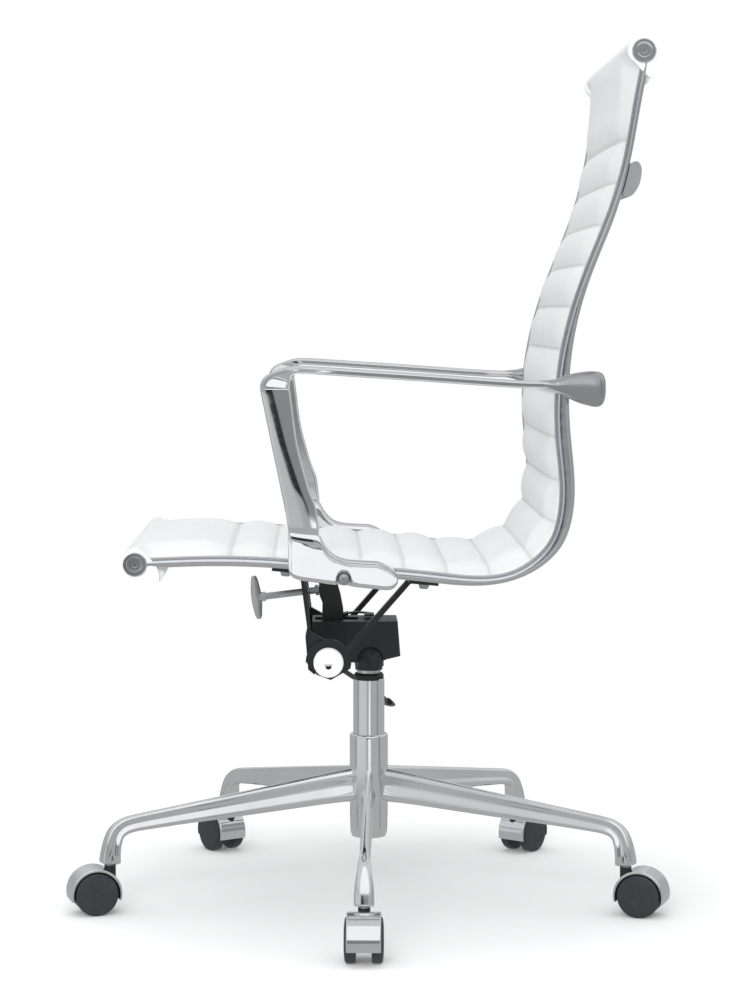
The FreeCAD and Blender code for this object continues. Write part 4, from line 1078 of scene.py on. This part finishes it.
def inflate(obj, pins):
    """Short cloth run: the channels fill evenly between their pinned seams."""
    group = obj.vertex_groups.new(name="sewn")
    group.add([i for i, pinned in enumerate(pins) if pinned], 1.0, "REPLACE")
    start = np.array([v.co for v in obj.data.vertices])
    cloth = obj.modifiers.new("fill", "CLOTH")
    settings = cloth.settings
    settings.vertex_group_mass = "sewn"
    settings.use_pressure = True
    settings.uniform_pressure_force = 3.5
    settings.effector_weights.gravity = 0
    settings.shrink_min = -0.006
    settings.tension_stiffness = settings.compression_stiffness = 25
    settings.shear_stiffness = 12
    settings.bending_stiffness = 4.0
    settings.quality = 5
    scene = bpy.context.scene
    for number in range(1, CLOTH_FRAMES + 1):
        scene.frame_set(number)
    applied(obj)
    end = np.array([v.co for v in obj.data.vertices])
    move = end - start
    across = move.reshape(COLUMNS + 1, -1, 3)
    for _ in range(PUFF_EVENING):
        across[1:-1] = 0.25 * across[:-2] + 0.5 * across[1:-1] + 0.25 * across[2:]
    size = np.linalg.norm(move, axis=1)
    move *= np.minimum(PUFF_CAP / np.maximum(size, 1e-9), 1.0)[:, None]
    obj.data.vertices.foreach_set("co", (start + move).astype(np.float32).ravel())
    obj.data.update()
    scene.frame_set(1)


def make_sling():
    """Ribbed leather sling between the rails, closed round both cross tubes."""
    loops, pins, seams, rows = sling_blank()
    count = len(loops[0])
    points = [p for loop in loops for p in loop]
    faces = tube_grid(loops)
    top_rows, tail = len(top_tail()), len(front_tail())
    for column, flip in ((0, False), (len(loops) - 1, True)):
        first = column * count
        for i in range(rows - 1):
            upper, lower = i, 2 * rows + top_rows - 1 - i
            face = (first + upper, first + upper + 1, first + lower - 1, first + lower)
            faces.append(face[::-1] if flip else face)
        top_roll = [first + i for i in range(rows - 1, rows + top_rows + 1)]
        front_roll = [first + (rows * 2 + top_rows - 1 + i) % count for i in range(tail + 2)]
        for roll in (top_roll, front_roll):
            faces.append(roll[::-1] if flip else roll)
    sling = outward(mesh_object("leather_cover", points, faces, MATERIALS["white_leather"]))
    inflate(sling, pins)
    # How strongly painted shade darkens the leather along its seams.
    layer = sling.data.attributes.new("seam", "FLOAT", "POINT")
    layer.data.foreach_set("value", seams)
    crease = sling.data.attributes.new("crease_edge", "FLOAT", "EDGE")
    on_seam = np.array(seams) > 0.999
    sharp = [0.75 if on_seam[e.vertices[0]] and on_seam[e.vertices[1]]
             and abs(e.vertices[0] - e.vertices[1]) == count else 0.0
             for e in sling.data.edges]
    crease.data.foreach_set("value", sharp)
    subdivided(sling)
    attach(sling, "seat")
    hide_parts("leather_sling")


def make_wrap_end(name, centre, outline, side):
    """End of a leather wrap, which closes round the tube and covers the rail's end."""
    inner = SLING_HALF - 0.002
    rings = []
    bevel = 0.0014
    for depth, shrink in ((0.0, 0.0), (0.5, 0.0), (1.0, 0.0), (1.0, 0.35), (1.0, 1.0)):
        x = inner + (WRAP_HALF - inner) * depth - bevel * (1 - shrink if depth == 1.0 else 1.0)
        ring = []
        for a, b in outline:
            size = math.hypot(a, b)
            pull = bevel * shrink / size
            ring.append((side * x, centre[0] + a * (1 - pull), centre[1] + b * (1 - pull)))
        rings.append(ring)
    wrap = swept(name, rings, MATERIALS["white_leather"])
    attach(wrap, "seat")


def make_wraps():
    """Closed ends of the leather round both cross tubes."""
    front = on_roll(np.linspace(62, 292, 17)) + [
        (0.0120, -0.0152), (0.0173, -0.0140), (0.0217, -0.0157), (0.0250, -0.0200),
        (0.0263, -0.0206), (0.0272, -0.0165), (0.0262, -0.0105), (0.0249, -0.0057),
        (0.0224, 0.0006), (0.0186, 0.0042), (0.0140, 0.0090)]
    top = on_roll(np.linspace(-30, 196, 17)) + [
        (-0.0150, -0.0085), (-0.0083, -0.0126), (-0.0044, -0.0187), (0.0000, -0.0232),
        (0.0040, -0.0270), (0.0078, -0.0295), (0.0093, -0.0280), (0.0085, -0.0238),
        (0.0090, -0.0195), (0.0106, -0.0158)]
    for side, word in ((1, "left"), (-1, "right")):
        make_wrap_end("front_wrap_" + word, FRONT_TUBE, front, side)
        make_wrap_end("top_wrap_" + word, TOP_TUBE, top, side)


# ---------------------------------------------------------------- build
make_camera()
make_studio()
make_floor()
dress_cad_nodes()
for side in (1, -1):
    make_rail(side)
make_arms()
make_base()
make_spreader()
make_cap_hole_shades()
make_sling()
make_wraps()
